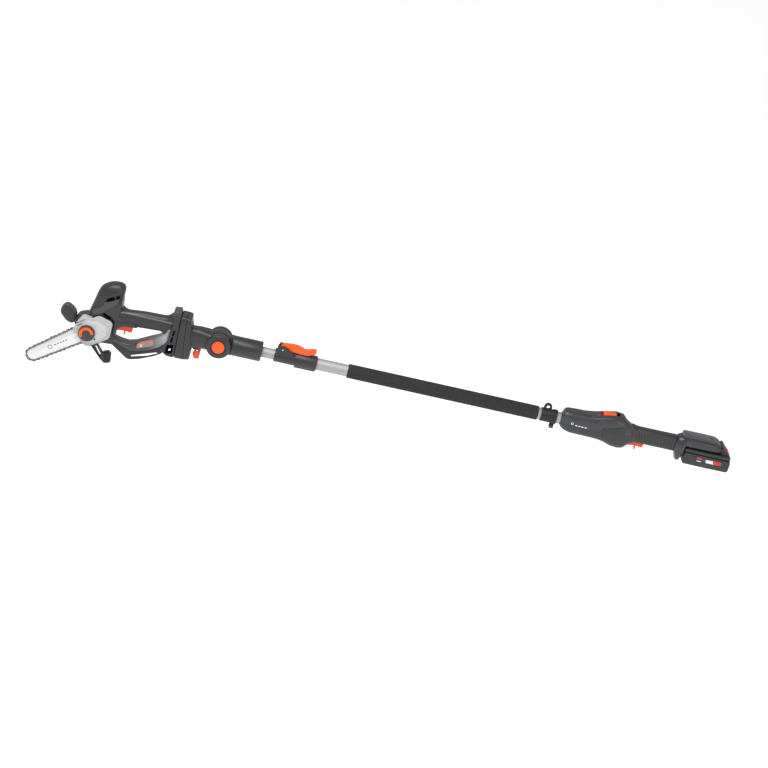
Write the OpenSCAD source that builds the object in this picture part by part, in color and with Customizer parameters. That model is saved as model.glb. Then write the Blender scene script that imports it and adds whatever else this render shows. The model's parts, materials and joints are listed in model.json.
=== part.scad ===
// Battery pole saw: a small pruning chainsaw on a telescoping, tilting pole.
// Drawn along the pole line (x towards the battery, z up, saw bar side at -y), then
// moved so that the origin is the centre of the strap eye.

/* [Pole] */
// Outer tube radius
outer_tube_r = 16; // [15:0.5:17]
// Inner tube radius
inner_tube_r = 14; // [13.5:0.1:14.2]
// Wall of the outer tube
outer_wall = 1.6; // [1.5:0.1:1.7]
// Wall of the inner tube
inner_wall = 1.5; // [1:0.1:2]
// Front end of the outer tube, inside the clamp
outer_tube_start = -232; // [-235:1:-225]
// Rear end of the outer tube, inside the rear housing
outer_tube_end = 545; // [530:1:552]
// Rear end of the inner tube
inner_tube_end = 360; // [300:1:400]
// Foam grip radius
foam_r = 19; // [18:0.5:21]
// Foam grip front end
foam_start = -99; // [-110:1:-90]
// Foam grip rear end
foam_end = 420; // [400:1:424]

/* [Strap ring] */
// Centre of the strap eye along the pole
eye_x = 443; // [440:1:446]
// Height of the strap eye above the pole line
eye_z = 24; // [24:0.5:26]
// Radius of the strap eye
eye_r = 5.2; // [4:0.1:5.4]
// Thickness of the eye lug
eye_width = 8; // [6:1:10]

/* [Tilt joint] */
// Pivot position along the pole
pivot_x = -445; // [-448:1:-442]
// Radius of the fork cheeks
cheek_r = 33; // [30:1:34]
// Half of the width over both cheeks
cheek_y = 36; // [34:1:38]
// Half of the tongue's thickness
tongue_y = 13.5; // [12:0.5:14.5]
// Push button radius
button_r = 17; // [14:0.5:18]
// Pivot bolt radius
pivot_r = 6; // [5:0.5:7]

/* [Saw bar] */
// Rise of the bar from its nose to its root, in degrees
bar_angle = 37.5; // [35:0.5:40]
// Distance from the bar stud to the nose rivet
bar_reach = 163.4; // [155:0.1:166]
// Radius of the bar nose
nose_r = 15.5; // [14:0.5:16]
// Half width of the bar at its root
belly_r = 20.6; // [18:0.2:21]
// Distance of the bar plane from the pole's middle plane
bar_y = 25; // [24.5:0.1:25.5]
// Bar thickness
bar_t = 1.4; // [1.1:0.1:1.6]
// Chain pitch between two cutters
cutter_pitch = 25.4; // [20:0.1:30]
// Height of the chain's side links
link_h = 5; // [4:0.2:5.2]
// Bar knob radius
knob_r = 22; // [20:0.5:23]

/* [Drive] */
// Teeth of the face gear
gear_teeth = 32; // [24:4:32]
// Teeth of the motor pinion
pinion_teeth = 8; // [8:4:8]

/* [Battery] */
// Battery front face
battery_x = 823; // [821:1:824]
// Battery length
battery_l = 128; // [126:1:130]
// Half width of the battery
battery_y = 37; // [36:0.5:38]
// Battery underside
battery_bottom = -38; // [-40:1:-36]

/* [Hidden] */
$fn = 64;
dark = "#474747";
trim = "#3f4046";
orange = "#ff621b";
red = "#de3c1a";
steel = "#d8d8d8";
gap = 0.3;
bore_gap = 0.05;
stud_x = -788;
stud_z = -39;
sprocket_u = 43;
sprocket_x = stud_x + sprocket_u * cos(bar_angle);
sprocket_z = stud_z + sprocket_u * sin(bar_angle);
motor_y = 2.75;
split_x = -554;

// Moves the pole line so that the strap eye is the origin
module place() {
    translate([-eye_x, 0, -eye_z]) children();
}

// Plate between two y values, drawn in x and z
module plate(y0, y1) {
    translate([0, y1, 0]) rotate([90, 0, 0]) linear_extrude(y1 - y0) children();
}

// Cylinder along y between two y values
module across(x, z, r, y0, y1) {
    translate([x, y1, z]) rotate([90, 0, 0]) cylinder(r = r, h = y1 - y0);
}

// Cylinder along x between two x values
module along(x0, x1, r, z = 0) {
    translate([x0, 0, z]) rotate([0, 90, 0]) cylinder(r = r, h = x1 - x0);
}

// Box between two corners
module box(low, high) {
    translate(low) cube(high - low);
}

// Box with rounded long edges, along x
module round_box(x0, x1, half_y, z0, z1, r) {
    translate([x0, 0, 0]) rotate([90, 0, 90]) linear_extrude(x1 - x0) {
        translate([-half_y + r, z0]) square([2 * half_y - 2 * r, z1 - z0]);
        translate([-half_y, z0 + r]) square([2 * half_y, z1 - z0 - 2 * r]);
        for (side = [-1, 1], z = [z0 + r, z1 - r]) {
            translate([side * (half_y - r), z]) circle(r = r);
        }
    }
}

// One superellipse section point
function bulge(a, n) = [
    sign(cos(a)) * pow(abs(cos(a)), 2 / n),
    sign(sin(a)) * pow(abs(sin(a)), 2 / n)
];

// Smooth body through sections [place, low, high, half width, squareness]
function section_along_x(s, steps) = [
    for (i = [0:steps - 1])
        let (p = bulge((i + 0.5) * 360 / steps, s[4]))
        [s[0], -s[3] * p[0], (s[1] + s[2]) / 2 + (s[2] - s[1]) / 2 * p[1]]
];
function section_along_z(s, steps) = [
    for (i = [0:steps - 1])
        let (p = bulge((i + 0.5) * 360 / steps, s[4]))
        [(s[1] + s[2]) / 2 + (s[2] - s[1]) / 2 * p[0], -s[3] * p[1], s[0]]
];
module skin(rings) {
    steps = len(rings[0]);
    last = (len(rings) - 1) * steps;
    polyhedron(
        points = [for (ring = rings) each ring],
        faces = concat(
            [[for (i = [steps - 1:-1:0]) i]],
            [[for (i = [0:steps - 1]) last + i]],
            [
                for (k = [0:len(rings) - 2], i = [0:steps - 1])
                    let (a = k * steps + i, b = k * steps + (i + 1) % steps)
                    each [[a, b, b + steps], [a, b + steps, a + steps]]
            ]
        )
    );
}
module loft_x(sections, steps = 28) {
    skin([for (s = sections) section_along_x(s, steps)]);
}
module loft_z(sections, steps = 32) {
    skin([for (s = sections) section_along_z(s, steps)]);
}

// Sections drawn in by a wall thickness
function shrink(sections, wall) = [
    for (s = sections) [s[0], s[1] + wall, s[2] - wall, s[3] - wall, s[4]]
];

// ---------- pole ----------

module outer_tube() {
    color(steel) place() difference() {
        along(outer_tube_start, outer_tube_end, outer_tube_r);
        along(outer_tube_start - 1, outer_tube_end + 1, outer_tube_r - outer_wall);
    }
}

module foam_grip() {
    color("#363636") place() difference() {
        union() {
            along(foam_start + 1.5, foam_end - 1.5, foam_r);
            along(foam_start, foam_end, foam_r - 1);
        }
        along(foam_start - 1, foam_end + 1, outer_tube_r);
    }
}

module strap_ring() {
    color(dark) place() difference() {
        union() {
            along(428, 471, outer_tube_r + 2.4);
            along(460, 471, outer_tube_r + 4);
            across(eye_x, eye_z, 10.5, -eye_width / 2, eye_width / 2);
            plate(-eye_width / 2, eye_width / 2) polygon([
                [431, 16], [455, 16], [453, eye_z], [eye_x - 10, eye_z]
            ]);
            box([458, -7, -32], [469, 7, -14]);
        }
        along(427, 472, outer_tube_r);
        across(eye_x, eye_z, eye_r, -10, 10);
        box([457, -1.5, -33], [472, 1.5, -14]);
        across(463.5, -25, 2.6, -8, 8);
    }
}

module strap_screw() {
    color(steel) place() {
        across(463.5, -25, 2.5, -10, 9);
        across(463.5, -25, 4.5, -11.5, -7);
        difference() {
            across(463.5, -25, 4.6, 7, 10);
            across(463.5, -25, 1.2, 9.2, 10.5);
        }
    }
}

module clamp_body() {
    color(dark) place() difference() {
        union() {
            along(-297, -236, 18);
            along(-240, -183, 20.5);
            round_box(-240, -186, 15, -20.5, 19, 8);
            for (side = [0, 1]) mirror([0, side, 0]) plate(9.2, 15) polygon([
                [-295, 0], [-292, 24], [-287, 33], [-274, 33], [-237, 9], [-237, 0]
            ]);
        }
        along(-298, outer_tube_start, inner_tube_r + 0.4);
        along(outer_tube_start, -180, outer_tube_r);
        box([-290, -9.2, 10], [-240, 9.2, 40]);
        across(-278, 24, 2, -20, 20);
        box([-242, -22, 19], [-180, 22, 24]);
    }
}

module clamp_pin() {
    color(steel) place() across(-278, 24, 2, -15, 15);
}

module clamp_lever() {
    color(orange) place() difference() {
        union() {
            across(-278, 24, 6, -8.8, 8.8);
            plate(-8.8, 8.8) polygon([
                [-283, 25], [-284, 31], [-281, 34.5], [-270, 37], [-256, 38.5], [-240, 38],
                [-229, 35.5], [-221, 31], [-206, 20.8], [-236, 20.8], [-250, 21],
                [-264, 18.8], [-274, 19]
            ]);
            plate(-10.5, 10.5) polygon([
                [-262, 33], [-254, 36.5], [-240, 36], [-229, 33.5], [-220, 30.5], [-211, 32.5],
                [-194, 37.5], [-190, 35], [-191, 29.5], [-205, 23.5], [-212, 20.8],
                [-234, 20.8], [-246, 24]
            ]);
        }
        across(-278, 24, 2 + bore_gap, -20, 20);
    }
}

module clamp_pad() {
    color("#222222") place() difference() {
        box([-287, -6, 10], [-268, 6, 17.7]);
        along(-290, -260, inner_tube_r + gap);
    }
}

module inner_tube() {
    color(steel) place() difference() {
        along(-400, inner_tube_end, inner_tube_r);
        along(-401, inner_tube_end + 1, inner_tube_r - inner_wall);
    }
}

module tube_bush() {
    color("#262626") place() difference() {
        along(inner_tube_end - 8, inner_tube_end + 22, outer_tube_r - outer_wall - bore_gap);
        along(inner_tube_end - 9, inner_tube_end, inner_tube_r);
        along(inner_tube_end - 1, inner_tube_end + 23, inner_tube_r - inner_wall);
    }
}

// ---------- tilt joint ----------

module pole_socket() {
    color(dark) place() difference() {
        union() {
            across(pivot_x, 0, cheek_r, -tongue_y, tongue_y);
            box([pivot_x, -tongue_y, -24], [-408, tongue_y, 24]);
            along(-410, -333, 27);
            along(-334, -331, 25);
        }
        across(pivot_x, 0, pivot_r + bore_gap, -20, 20);
        along(-400, -330, inner_tube_r);
        along(-406, -399, 9);
    }
}

module fork_neck() {
    color(dark) place() difference() {
        union() {
            along(-509, -458, 27, 1);
            along(-509, -497, 30, 1);
            for (side = [0, 1]) mirror([0, side, 0]) {
                across(pivot_x, 0, cheek_r, tongue_y + gap, cheek_y);
                box([-482, tongue_y + gap, -22], [-450, cheek_y - 6, 22]);
            }
        }
        across(pivot_x, 0, cheek_r + 1, -tongue_y - gap, tongue_y + gap);
        across(pivot_x, 0, pivot_r, -40, 40);
        across(pivot_x, 0, button_r + bore_gap, -40, -26);
        across(pivot_x, 0, 12, 31, 40);
        box([-515, -40, -60], [-492, 40, -24.5]);
        along(-510, -490, 18, 1);
    }
}

module pivot_bolt() {
    color(steel) place() difference() {
        union() {
            across(pivot_x, 0, pivot_r, -24, 33);
            across(pivot_x, 0, 11.5, 31, 35.5);
        }
        translate([pivot_x, 36, 0]) rotate([90, 0, 0]) cylinder(r = 4, h = 3, $fn = 6);
    }
}

module joint_button() {
    color(orange) place() {
        across(pivot_x, 0, button_r, -37, -31.5);
        across(pivot_x, 0, button_r - 2, -38.5, -36);
    }
}

// ---------- saw head interface ----------

module adapter_block() {
    color(dark) place() difference() {
        union() {
            round_box(split_x + gap, -526, 30, -56, 57, 9);
            round_box(-528, -518, 27, -48, 46, 9);
            round_box(-519, -509, 25, -40, 40, 9);
            box([-562, -17, -48], [-557.5, 17, 44]);
            box([-560, -12, -48], [-552, 12, 44]);
            for (side = [-1, 1]) box([-511, side * 13 - 2, -34], [-493.5, side * 13 + 2, -24.8]);
        }
        along(-545, -505, 18, 1);
        across(-498, -30, 2, -20, 20);
        for (side = [-1, 1]) box([-555.5, side * 7 - 1, -30], [-546, side * 7 + 1, -10]);
    }
}

module adapter_terminals() {
    color("#c9a227") place() for (side = [-1, 1]) {
        box([-563, side * 7 - 1, -30], [-562, side * 7 + 1, -10]);
    }
}

module latch_pin() {
    color(steel) place() across(-498, -30, 2, -15, 15);
}

module adapter_latch() {
    color(red) place() difference() {
        union() {
            across(-498, -30, 3.8, -10.6, 10.6);
            plate(-10.6, 10.6) polygon([
                [-501.8, -30], [-494.2, -30], [-489, -33], [-490, -55], [-503, -57],
                [-508.2, -46]
            ]);
        }
        across(-498, -30, 2 + bore_gap, -20, 20);
        for (i = [0:3]) box([-490.5, -12, -52 + 5 * i], [-488, 12, -50 + 5 * i]);
    }
}

module interface_plate() {
    color(trim) place() difference() {
        union() {
            round_box(-563, split_x, 30, -54, 60, 8);
            plate(-20, 20) polygon([
                [-577, 62], [-558, 64], [-558, -56], [-577, -58], [-591.8, -47],
                [-591.8, -24], [-577.5, -17.5]
            ]);
        }
        box([-562.3, -17.3, -60], [-557.2, 17.3, 44.3]);
        box([-558, -12.3, -60], [-550, 12.3, 44.3]);
        box([-564, -9, -60], [-561, 9, -9]);
        for (side = [0, 1]) mirror([0, side, 0]) box([-595, 13, -51], [-563.5, 21, -29]);
        box([-576, -30, -47], [-565, 30, -29]);
        for (z = [8, -14]) box([-574, -21, z - 8], [-566, -18, z + 8]);
    }
}

// ---------- saw head ----------

// Places children in the bar's own frame: x along the bar to its root, z across it
module bar_frame() {
    translate([stud_x, 0, stud_z]) rotate([0, -bar_angle, 0]) children();
}

// Outline round two circles on the bar's line
module belt(x1, r1, x2, r2) {
    c = (r1 - r2) / (x2 - x1);
    s = sqrt(1 - c * c);
    translate([x1, 0]) circle(r = r1);
    translate([x2, 0]) circle(r = r2);
    polygon([
        [x1 + r1 * c, r1 * s], [x2 + r2 * c, r2 * s], [x2 + r2 * c, -r2 * s],
        [x1 + r1 * c, -r1 * s]
    ]);
}

module bar_outline() {
    belt(-bar_reach, nose_r, -20, belly_r);
    belt(-20, belly_r, sprocket_u, 11);
}

module chain_outline(grow) {
    hull() {
        translate([-bar_reach, 0]) circle(r = nose_r + grow);
        translate([-20, 0]) circle(r = belly_r + grow);
        translate([sprocket_u, 0]) circle(r = 11 + grow);
    }
}

module guide_bar() {
    color("#e8e8e8") place() bar_frame() difference() {
        union() {
            plate(-bar_y - bar_t / 2, -bar_y + bar_t / 2) difference() {
                bar_outline();
                translate([28, -30]) square([60, 60]);
            }
            for (x = [-bar_reach, -bar_reach + 16]) {
                across(x, 0, x < -160 ? 3.2 : 1.4, -bar_y - 1, -bar_y + 1);
            }
        }
        across(0, 0, 4, -40, 0);
        box([0, -40, -4], [12, 0, 4]);
        across(12, 0, 4, -40, 0);
    }
}

// Places children at one cutter spot: along a straight run, foot on the bar's edge
module on_run(side, distance) {
    lean = asin((belly_r - nose_r) / (bar_reach - 20));
    mirror([0, 0, side > 0 ? 0 : 1]) translate([-20, 0, 0]) rotate([0, -lean, 0])
        translate([-distance, 0, belly_r]) mirror([side > 0 ? 0 : 1, 0, 0]) children();
}

module cutter() {
    plate(-1.9, 1.9) polygon([
        [0, 3], [9.5, 3], [9.5, 5.6], [8, link_h + 3.2], [3.4, link_h + 2.6], [2.8, 5.2],
        [1.8, link_h + 1.8], [0.4, link_h + 1]
    ]);
}

module saw_chain() {
    color("#6c6d70") place() bar_frame() {
        difference() {
            plate(-bar_y - 2.2, -bar_y + 2.2) difference() {
                chain_outline(link_h);
                chain_outline(0.2);
            }
            for (side = [-1, 1], i = [0:10]) translate([0, -bar_y, 0]) on_run(side, 6.35 + i * 12.7)
                box([-0.8, -3, link_h - 1.4], [0.8, 3, link_h + 1]);
        }
        for (side = [-1, 1], i = [1:5]) translate([0, -bar_y, 0]) on_run(side, i * cutter_pitch)
            cutter();
        for (a = [-50, 10, 62]) translate([-bar_reach, -bar_y, 0]) rotate([0, -a - 90, 0])
            translate([0, 0, nose_r]) cutter();
    }
}

module bar_stud() {
    color(steel) place() {
        across(stud_x, stud_z, 4, -46, -17);
        across(stud_x + 12 * cos(bar_angle), stud_z + 12 * sin(bar_angle), 3.9, -27, -17);
    }
}

module bar_knob() {
    color("#3c3c3c") place() difference() {
        union() {
            across(stud_x, stud_z, knob_r, -46, -38.3);
            across(stud_x, stud_z, knob_r - 2, -48, -45);
            for (i = [0:17]) translate([stud_x, 0, stud_z]) rotate([0, i * 20, 0])
                across(knob_r - 0.6, 0, 1.6, -45, -39);
        }
        across(stud_x, stud_z, 4 + bore_gap, -46.5, -38);
        difference() {
            across(stud_x, stud_z, knob_r - 3, -49, -46.5);
            across(stud_x, stud_z, knob_r - 11, -49, -46);
            translate([stud_x, 0, stud_z]) rotate([0, -10, 0]) box([-30, -50, -30], [30, -40, 0]);
        }
    }
}

module knob_tab() {
    color(orange) place() difference() {
        across(stud_x, stud_z, knob_r - 3.2, -50, -46.5);
        across(stud_x, stud_z, knob_r - 10.8, -51, -46);
        translate([stud_x, 0, stud_z]) rotate([0, -10, 0]) box([-30, -52, -30], [30, -40, 0.4]);
    }
}

module cover_outline() {
    polygon([
        [-826, -36], [-798, -71], [-788, -78], [-779, -78], [-750, -59], [-731, -46],
        [-727, -38], [-726, -2], [-731, 5], [-762, 14], [-770, 11], [-782, 2], [-803, 5],
        [-808, 2], [-817, -13], [-824, -32]
    ]);
}

module chain_cover() {
    color("#b4b4b4") place() difference() {
        union() {
            plate(-36, -19) cover_outline();
            across(stud_x, stud_z, knob_r + 3, -38, -35);
            translate([stud_x, 0, stud_z]) rotate([0, -bar_angle, 0])
                box([-22, -37.2, 29], [24, -35, 34]);
        }
        translate([-775, 0, -32]) scale([0.94, 1, 0.94]) translate([775, 0, 32])
            plate(-33.5, -18) cover_outline();
        bar_frame() box([-60, -33.5, -30], [-10, -18, 30]);
        across(stud_x, stud_z, 4.5, -40, -18);
        across(-766, -58, 2.4, -40, -33);
    }
}

module hand_guard() {
    color(dark) place() difference() {
        plate(-9, 13) polygon([
            [-858, 15], [-868, 4], [-868, -12], [-849, -32], [-830, -33], [-824, -24],
            [-826, -4], [-836, 9], [-850, 16]
        ]);
        plate(-20, 20) body_outline();
    }
}

module branch_hook() {
    color(trim) place() difference() {
        plate(-12, 4) polygon([
            [-784, -77], [-762, -77], [-743, -103], [-736, -95], [-727, -91], [-718, -97],
            [-716, -122], [-732, -127], [-742, -119]
        ]);
        plate(-20, 20) polygon([[-766, -84], [-760, -84], [-743, -107], [-748, -110]]);
        plate(-20, 20) body_outline();
    }
}

dome = [
    [20, -799, -699, 29, 3.2], [34, -791, -707, 29, 3.2], [50, -786, -710, 29, 3.2],
    [66, -782, -711, 28.5, 3], [79, -778, -711, 27, 2.8], [90, -768, -711.5, 24, 2.6],
    [98, -756, -714, 19, 2.4], [103, -744, -720, 10, 2.2], [104.5, -738, -725, 4, 2]
];
body_flare = [[15.2, -806, -706, 24, 3.6], [19.7, -799, -700, 29, 3.2]];

module dome_cover() {
    color(dark) place() difference() {
        loft_z(dome);
        loft_z([for (i = [0:6]) shrink([dome[i]], 2.6)[0]]);
        translate([sprocket_x, motor_y, 19]) cylinder(r = 22, h = 4);
        for (x = [-748, -728]) box([x, -40, 60], [x + (x < -740 ? 16 : 8), -20, 64]);
    }
}

module body_outline() {
    polygon([
        [-828, -26], [-820, -6], [-806, 12], [-796, 19.6], [-705, 19.6], [-705, -4],
        [-692.5, -8.5], [-698, -10.5], [-708, -15.5], [-715, -24], [-719, -32], [-719, -48],
        [-680, -57], [-656, -50], [-620, -28], [-592, -20], [-592, -50], [-609, -74],
        [-645, -90], [-670, -98], [-717, -68], [-722, -52], [-750, -66], [-782, -78],
        [-800, -70]
    ]);
}

module body_half(side) {
    difference() {
        intersection() {
            union() {
                plate(-18.5, 18.5) body_outline();
                loft_z(body_flare);
            }
            mirror([0, side > 0 ? 0 : 1, 0]) box([-900, 0, -120], [-500, 40, 30]);
        }
        plate(-16, 16) polygon([
            [-795, -10], [-785, 12], [-774, 16], [-726, 16], [-718, 8], [-722, -24],
            [-728, -42], [-750, -58], [-776, -60], [-790, -40]
        ]);
        across(sprocket_x, sprocket_z, 8, -20, 17);
        across(stud_x, stud_z, 4, -20, 0);
        across(stud_x + 12 * cos(bar_angle), stud_z + 12 * sin(bar_angle), 3.9, -20, 0);
        translate([sprocket_x, motor_y, 10]) cylinder(r = 8, h = 12);
        plate(-14, 14) polygon([
            [-708, -64], [-672, -82], [-648, -76], [-612, -58], [-612, -38], [-650, -57],
            [-680, -64]
        ]);
        plate(-20, 20) polygon([[-664, -90], [-661, -85], [-597, -62], [-594, -67], [-640, -83]]);
        panel_recess();
        box([-716, -9, -33], [-690, 9, -3.6]);
        across(-709, -9, 2.5 + bore_gap, -12, 12);
    }
}

// Tilted pocket for the status panel on the near side of the lower guard
module panel_recess() {
    plate(-20, -17.4) polygon([[-655, -61], [-656, -55], [-616, -32], [-608, -36], [-612, -46]]);
}

module body_shell_left() {
    color(trim) place() body_half(1);
}

module body_shell_right() {
    color(trim) place() body_half(-1);
}

module status_panel() {
    color("#80807f") place() plate(-18.4, -17.4) polygon([
        [-654, -60], [-655, -55.5], [-616, -33], [-609, -36.5], [-612.5, -45.5]
    ]);
}

handle = [
    [-692, -7.5, 35, 17, 2.6], [-672, -7.5, 37.5, 17.5, 2.6], [-650, -6, 39.5, 17.5, 2.6],
    [-625, -4.5, 40.5, 17.5, 2.6], [-600, -3, 41, 18, 2.6], [-592, -6, 42, 18.5, 2.8],
    [-586, -10, 46, 19, 3]
];
handle_inside = [
    [-698.6, -3, 34, 15, 2.6], [-686, -5, 34.5, 15.3, 2.6], [-650, -4, 37.5, 15.5, 2.6],
    [-600, -1, 39, 16, 2.6], [-592, -4, 40, 16.5, 2.8], [-584, -10, 46, 17, 3],
    [-578.2, -15, 50, 17.5, 3.2]
];

module handle_core() {
    color(dark) place() difference() {
        union() {
            loft_x(handle_inside);
            plate(-12, 12) polygon([[-698, 21], [-705.5, 34], [-698, 34]]);
            box([-704.8, -14, -1], [-697, 14, 15]);
            box([-699.5, -14, 14], [-697, 14, 22]);
        }
        box([-700, -9, -30], [-668, 9, 10]);
        box([-669, -8, 4], [-640, 8, 26]);
    }
}

module handle_grip() {
    color("#404040") place() difference() {
        loft_x(handle);
        loft_x(handle_inside);
        box([-700, -9, -30], [-668, 9, 3]);
    }
}

module front_switch() {
    color("#202020") place() {
        box([-668, -7.5, 5], [-642, 7.5, 25]);
        box([-671, -3, 5.5], [-668, 3, 9.5]);
    }
}

// One trigger, drawn at the front handle
module trigger_shape() {
    difference() {
        union() {
            across(-709, -9, 4, -8.4, 8.4);
            across(-709, -9, 2.5, -11.8, 11.8);
            plate(-8.4, 8.4) polygon([
                [-714, -25.5], [-711.5, -17], [-713, -9], [-706, -5.2], [-698, -5.5],
                [-675, -7], [-674.5, -21.5], [-677, -25], [-682, -26], [-689, -23.5],
                [-700, -23]
            ]);
        }
        box([-696.6, -2.3, -30], [-691.4, 2.3, -8]);
    }
}

// Safety blade that slides in the trigger
module trigger_blade() {
    box([-696.2, -2, -30], [-691.8, 2, -13.5]);
    plate(-2, 2) polygon([[-696.2, -29], [-697, -37], [-693.4, -37.5], [-691.8, -29]]);
}

module rear_place() {
    translate([1391, 0, -4.5]) children();
}

module front_trigger() {
    color(red) place() trigger_shape();
}

module front_trigger_lock() {
    color(red) place() trigger_blade();
}

module rear_trigger() {
    color(red) place() rear_place() trigger_shape();
}

module rear_trigger_lock() {
    color(red) place() rear_place() trigger_blade();
}

// ---------- drive ----------

module drive_bearings() {
    color(steel) place() {
        for (y = [-18.5, 12.5]) difference() {
            across(sprocket_x, sprocket_z, 8, y, y + 4.5);
            across(sprocket_x, sprocket_z, 4 + bore_gap, y - 1, y + 6);
        }
        difference() {
            translate([sprocket_x, motor_y, 16]) cylinder(r = 8, h = 6);
            translate([sprocket_x, motor_y, 15]) cylinder(r = 2.5 + bore_gap, h = 8);
        }
    }
}

module sprocket_shaft() {
    color(steel) place() {
        across(sprocket_x, sprocket_z, 4, -29, 17);
        across(sprocket_x, sprocket_z, 6, -22, -19);
    }
}

module drive_sprocket() {
    color("#8a8a8a") place() translate([sprocket_x, 0, sprocket_z]) difference() {
        union() {
            across(0, 0, 7.5, -27.2, -22.8);
            for (i = [0:5]) rotate([0, i * 60 + 30, 0])
                plate(-25.7, -24.3) polygon([[6, -3], [10.6, -1], [10.6, 1], [6, 3]]);
        }
        across(0, 0, 4, -30, -20);
    }
}

module face_gear() {
    color("#9a9a9a") place() translate([sprocket_x, 0, sprocket_z]) difference() {
        union() {
            across(0, 0, 24, 9, 12);
            across(0, 0, 9, 5, 12);
            for (i = [0:gear_teeth - 1]) rotate([0, (i + 0.5) * 360 / gear_teeth, 0])
                box([16.5, 7.3, -0.3], [23.5, 9.5, 0.3]);
        }
        across(0, 0, 4, 0, 20);
    }
}

module motor_pinion() {
    color("#9a9a9a") place() translate([sprocket_x, motor_y, 2]) difference() {
        union() {
            cylinder(r = 3.6, h = 9);
            for (i = [0:pinion_teeth - 1]) rotate([0, 0, (i + 0.5) * 360 / pinion_teeth + 67.5])
                box([3, -0.4, 0], [5.5, 0.4, 9]);
        }
        translate([0, 0, -1]) cylinder(r = 2.5, h = 11);
    }
}

module motor_stator() {
    color("#6b4a2c") place() translate([sprocket_x, motor_y, 34]) difference() {
        union() {
            cylinder(r = 20.5, h = 34);
            for (i = [0:5]) rotate([0, 0, i * 60]) box([12.5, -2, -3], [19, 2, 37]);
        }
        translate([0, 0, -4]) cylinder(r = 13, h = 42);
    }
}

module motor_rotor() {
    color("#777777") place() translate([sprocket_x, motor_y, 0]) {
        cylinder(r = 2.5, h = 84);
        translate([0, 0, 34]) cylinder(r = 12.5, h = 34);
    }
}

module cooling_fan() {
    color("#303030") place() translate([sprocket_x, motor_y, 73]) difference() {
        union() {
            cylinder(r = 16.5, h = 1.5);
            cylinder(r = 5, h = 9);
            for (i = [0:8]) rotate([0, 0, i * 40]) box([4, -0.6, 0], [16.5, 0.6, 8]);
        }
        translate([0, 0, -1]) cylinder(r = 2.5, h = 12);
    }
}

// ---------- rear housing ----------

rear = [
    [482, -18, 14, 16.5, 2.6], [489, -27, 29, 22, 3], [497, -32, 31.5, 25, 3.2],
    [512, -36.5, 32, 27, 3.4], [548, -37, 33, 28, 3.4], [575, -37.5, 37.5, 29, 3.4],
    [591, -38, 41.5, 30, 3.6], [607, -40, 45, 30.5, 3.6], [626, -46, 49, 31, 3.6],
    [646, -47, 47, 30, 3.4], [660, -44, 34, 27, 3], [674, -31, 27, 21, 2.8],
    [685, -20, 24, 17.5, 2.6], [691, -18, 22.8, 15.5, 2.6], [797, -18, 23, 15.5, 2.6]
];

module pad_outline() {
    polygon([[594, 9], [650, 25], [657, -2], [648, -25], [600, -16]]);
}

module rear_half(side) {
    difference() {
        intersection() {
            loft_x(rear);
            mirror([0, side > 0 ? 0 : 1, 0]) box([400, 0, -80], [900, 60, 80]);
        }
        loft_x([for (i = [3:9]) shrink([rear[i]], 2.6)[0]]);
        along(480, outer_tube_end + 5, outer_tube_r);
        for (s = [0, 1]) mirror([0, s, 0]) plate(29.2, 40) pad_outline();
        box([587, -14, 36], [634, 6, 60]);
        box([575, -12, 33], [584, -4, 60]);
        box([675, -9, -50], [725, 9, -5]);
        across(682, -13.5, 2.5 + bore_gap, -12, 12);
        box([724.5, -7.5, -9.5], [752.5, 7.5, 11.5]);
    }
}

module rear_shell_left() {
    color(trim) place() rear_half(1);
}

module rear_shell_right() {
    color(trim) place() rear_half(-1);
}

module rear_grip() {
    color("#404040") place() difference() {
        loft_x([
            [689, -20.5, 25, 18, 2.6], [720, -20.5, 25, 17.5, 2.6], [760, -20, 25, 17.5, 2.6],
            [796.5, -20, 25.5, 18.5, 2.6]
        ]);
        loft_x([for (i = [12:14]) rear[i]]);
        box([675, -9, -50], [725, 9, -5]);
    }
}

module rear_pads() {
    color(dark) place() for (s = [0, 1]) mirror([0, s, 0]) plate(29.2, 31.6) pad_outline();
}

module led_window() {
    color("#a01818") place() box([575, -12, 34.5], [584, -4, 37.8]);
}

module power_slider() {
    color(orange) place() {
        plate(-13, 5) polygon([
            [590, 38], [590, 43], [594, 45.5], [604, 47.5], [612, 47], [624, 48], [626, 45],
            [626, 38]
        ]);
        for (x = [597, 602, 607]) box([x, -12, 45], [x + 2, 4, 49.5]);
    }
}

module control_board() {
    color("#1e5a34") place() {
        box([520, -22, -25.6], [600, 22, -24]);
        box([560, -10, -24], [584, 10, -12]);
        for (x = [526, 540]) box([x, -8, -24], [x + 8, 8, -20]);
    }
}

module rear_switch() {
    color("#202020") place() {
        box([728, -7, -9], [752, 7, 11]);
        box([725, -3, -6], [728, 3, -2]);
    }
}

// ---------- battery dock and battery ----------

module dock_cover() {
    color("#5d5d5f") place() difference() {
        intersection() {
            plate(-33, 33) polygon([
                [797.3, 20], [804, 30], [821, 35], [908, 35], [919, 29], [919, 8.3],
                [821, 8.3], [820.5, -22], [815, -43], [806, -41], [801, -24], [797.3, -17]
            ]);
            translate([0, 0, -60]) linear_extrude(120) polygon([
                [797, -20], [803, -26], [821, -33], [905, -33], [919, -26], [919, 26],
                [905, 33], [821, 33], [803, 26], [797, 20]
            ]);
        }
        box([821.3, -16.3, 0], [930, 16.3, 14.3]);
        box([821.3, -20.3, 10.7], [930, 20.3, 14.3]);
        box([812, -13, 20], [900, 13, 31]);
        box([816, -10, 9.5], [822, -7, 13.5]);
        box([816, 7, 9.5], [822, 10, 13.5]);
    }
}

module dock_terminals() {
    color("#c9a227") place() for (side = [0, 1]) mirror([0, side, 0])
        box([816, 7.5, 10], [831, 8.5, 13]);
}

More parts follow.
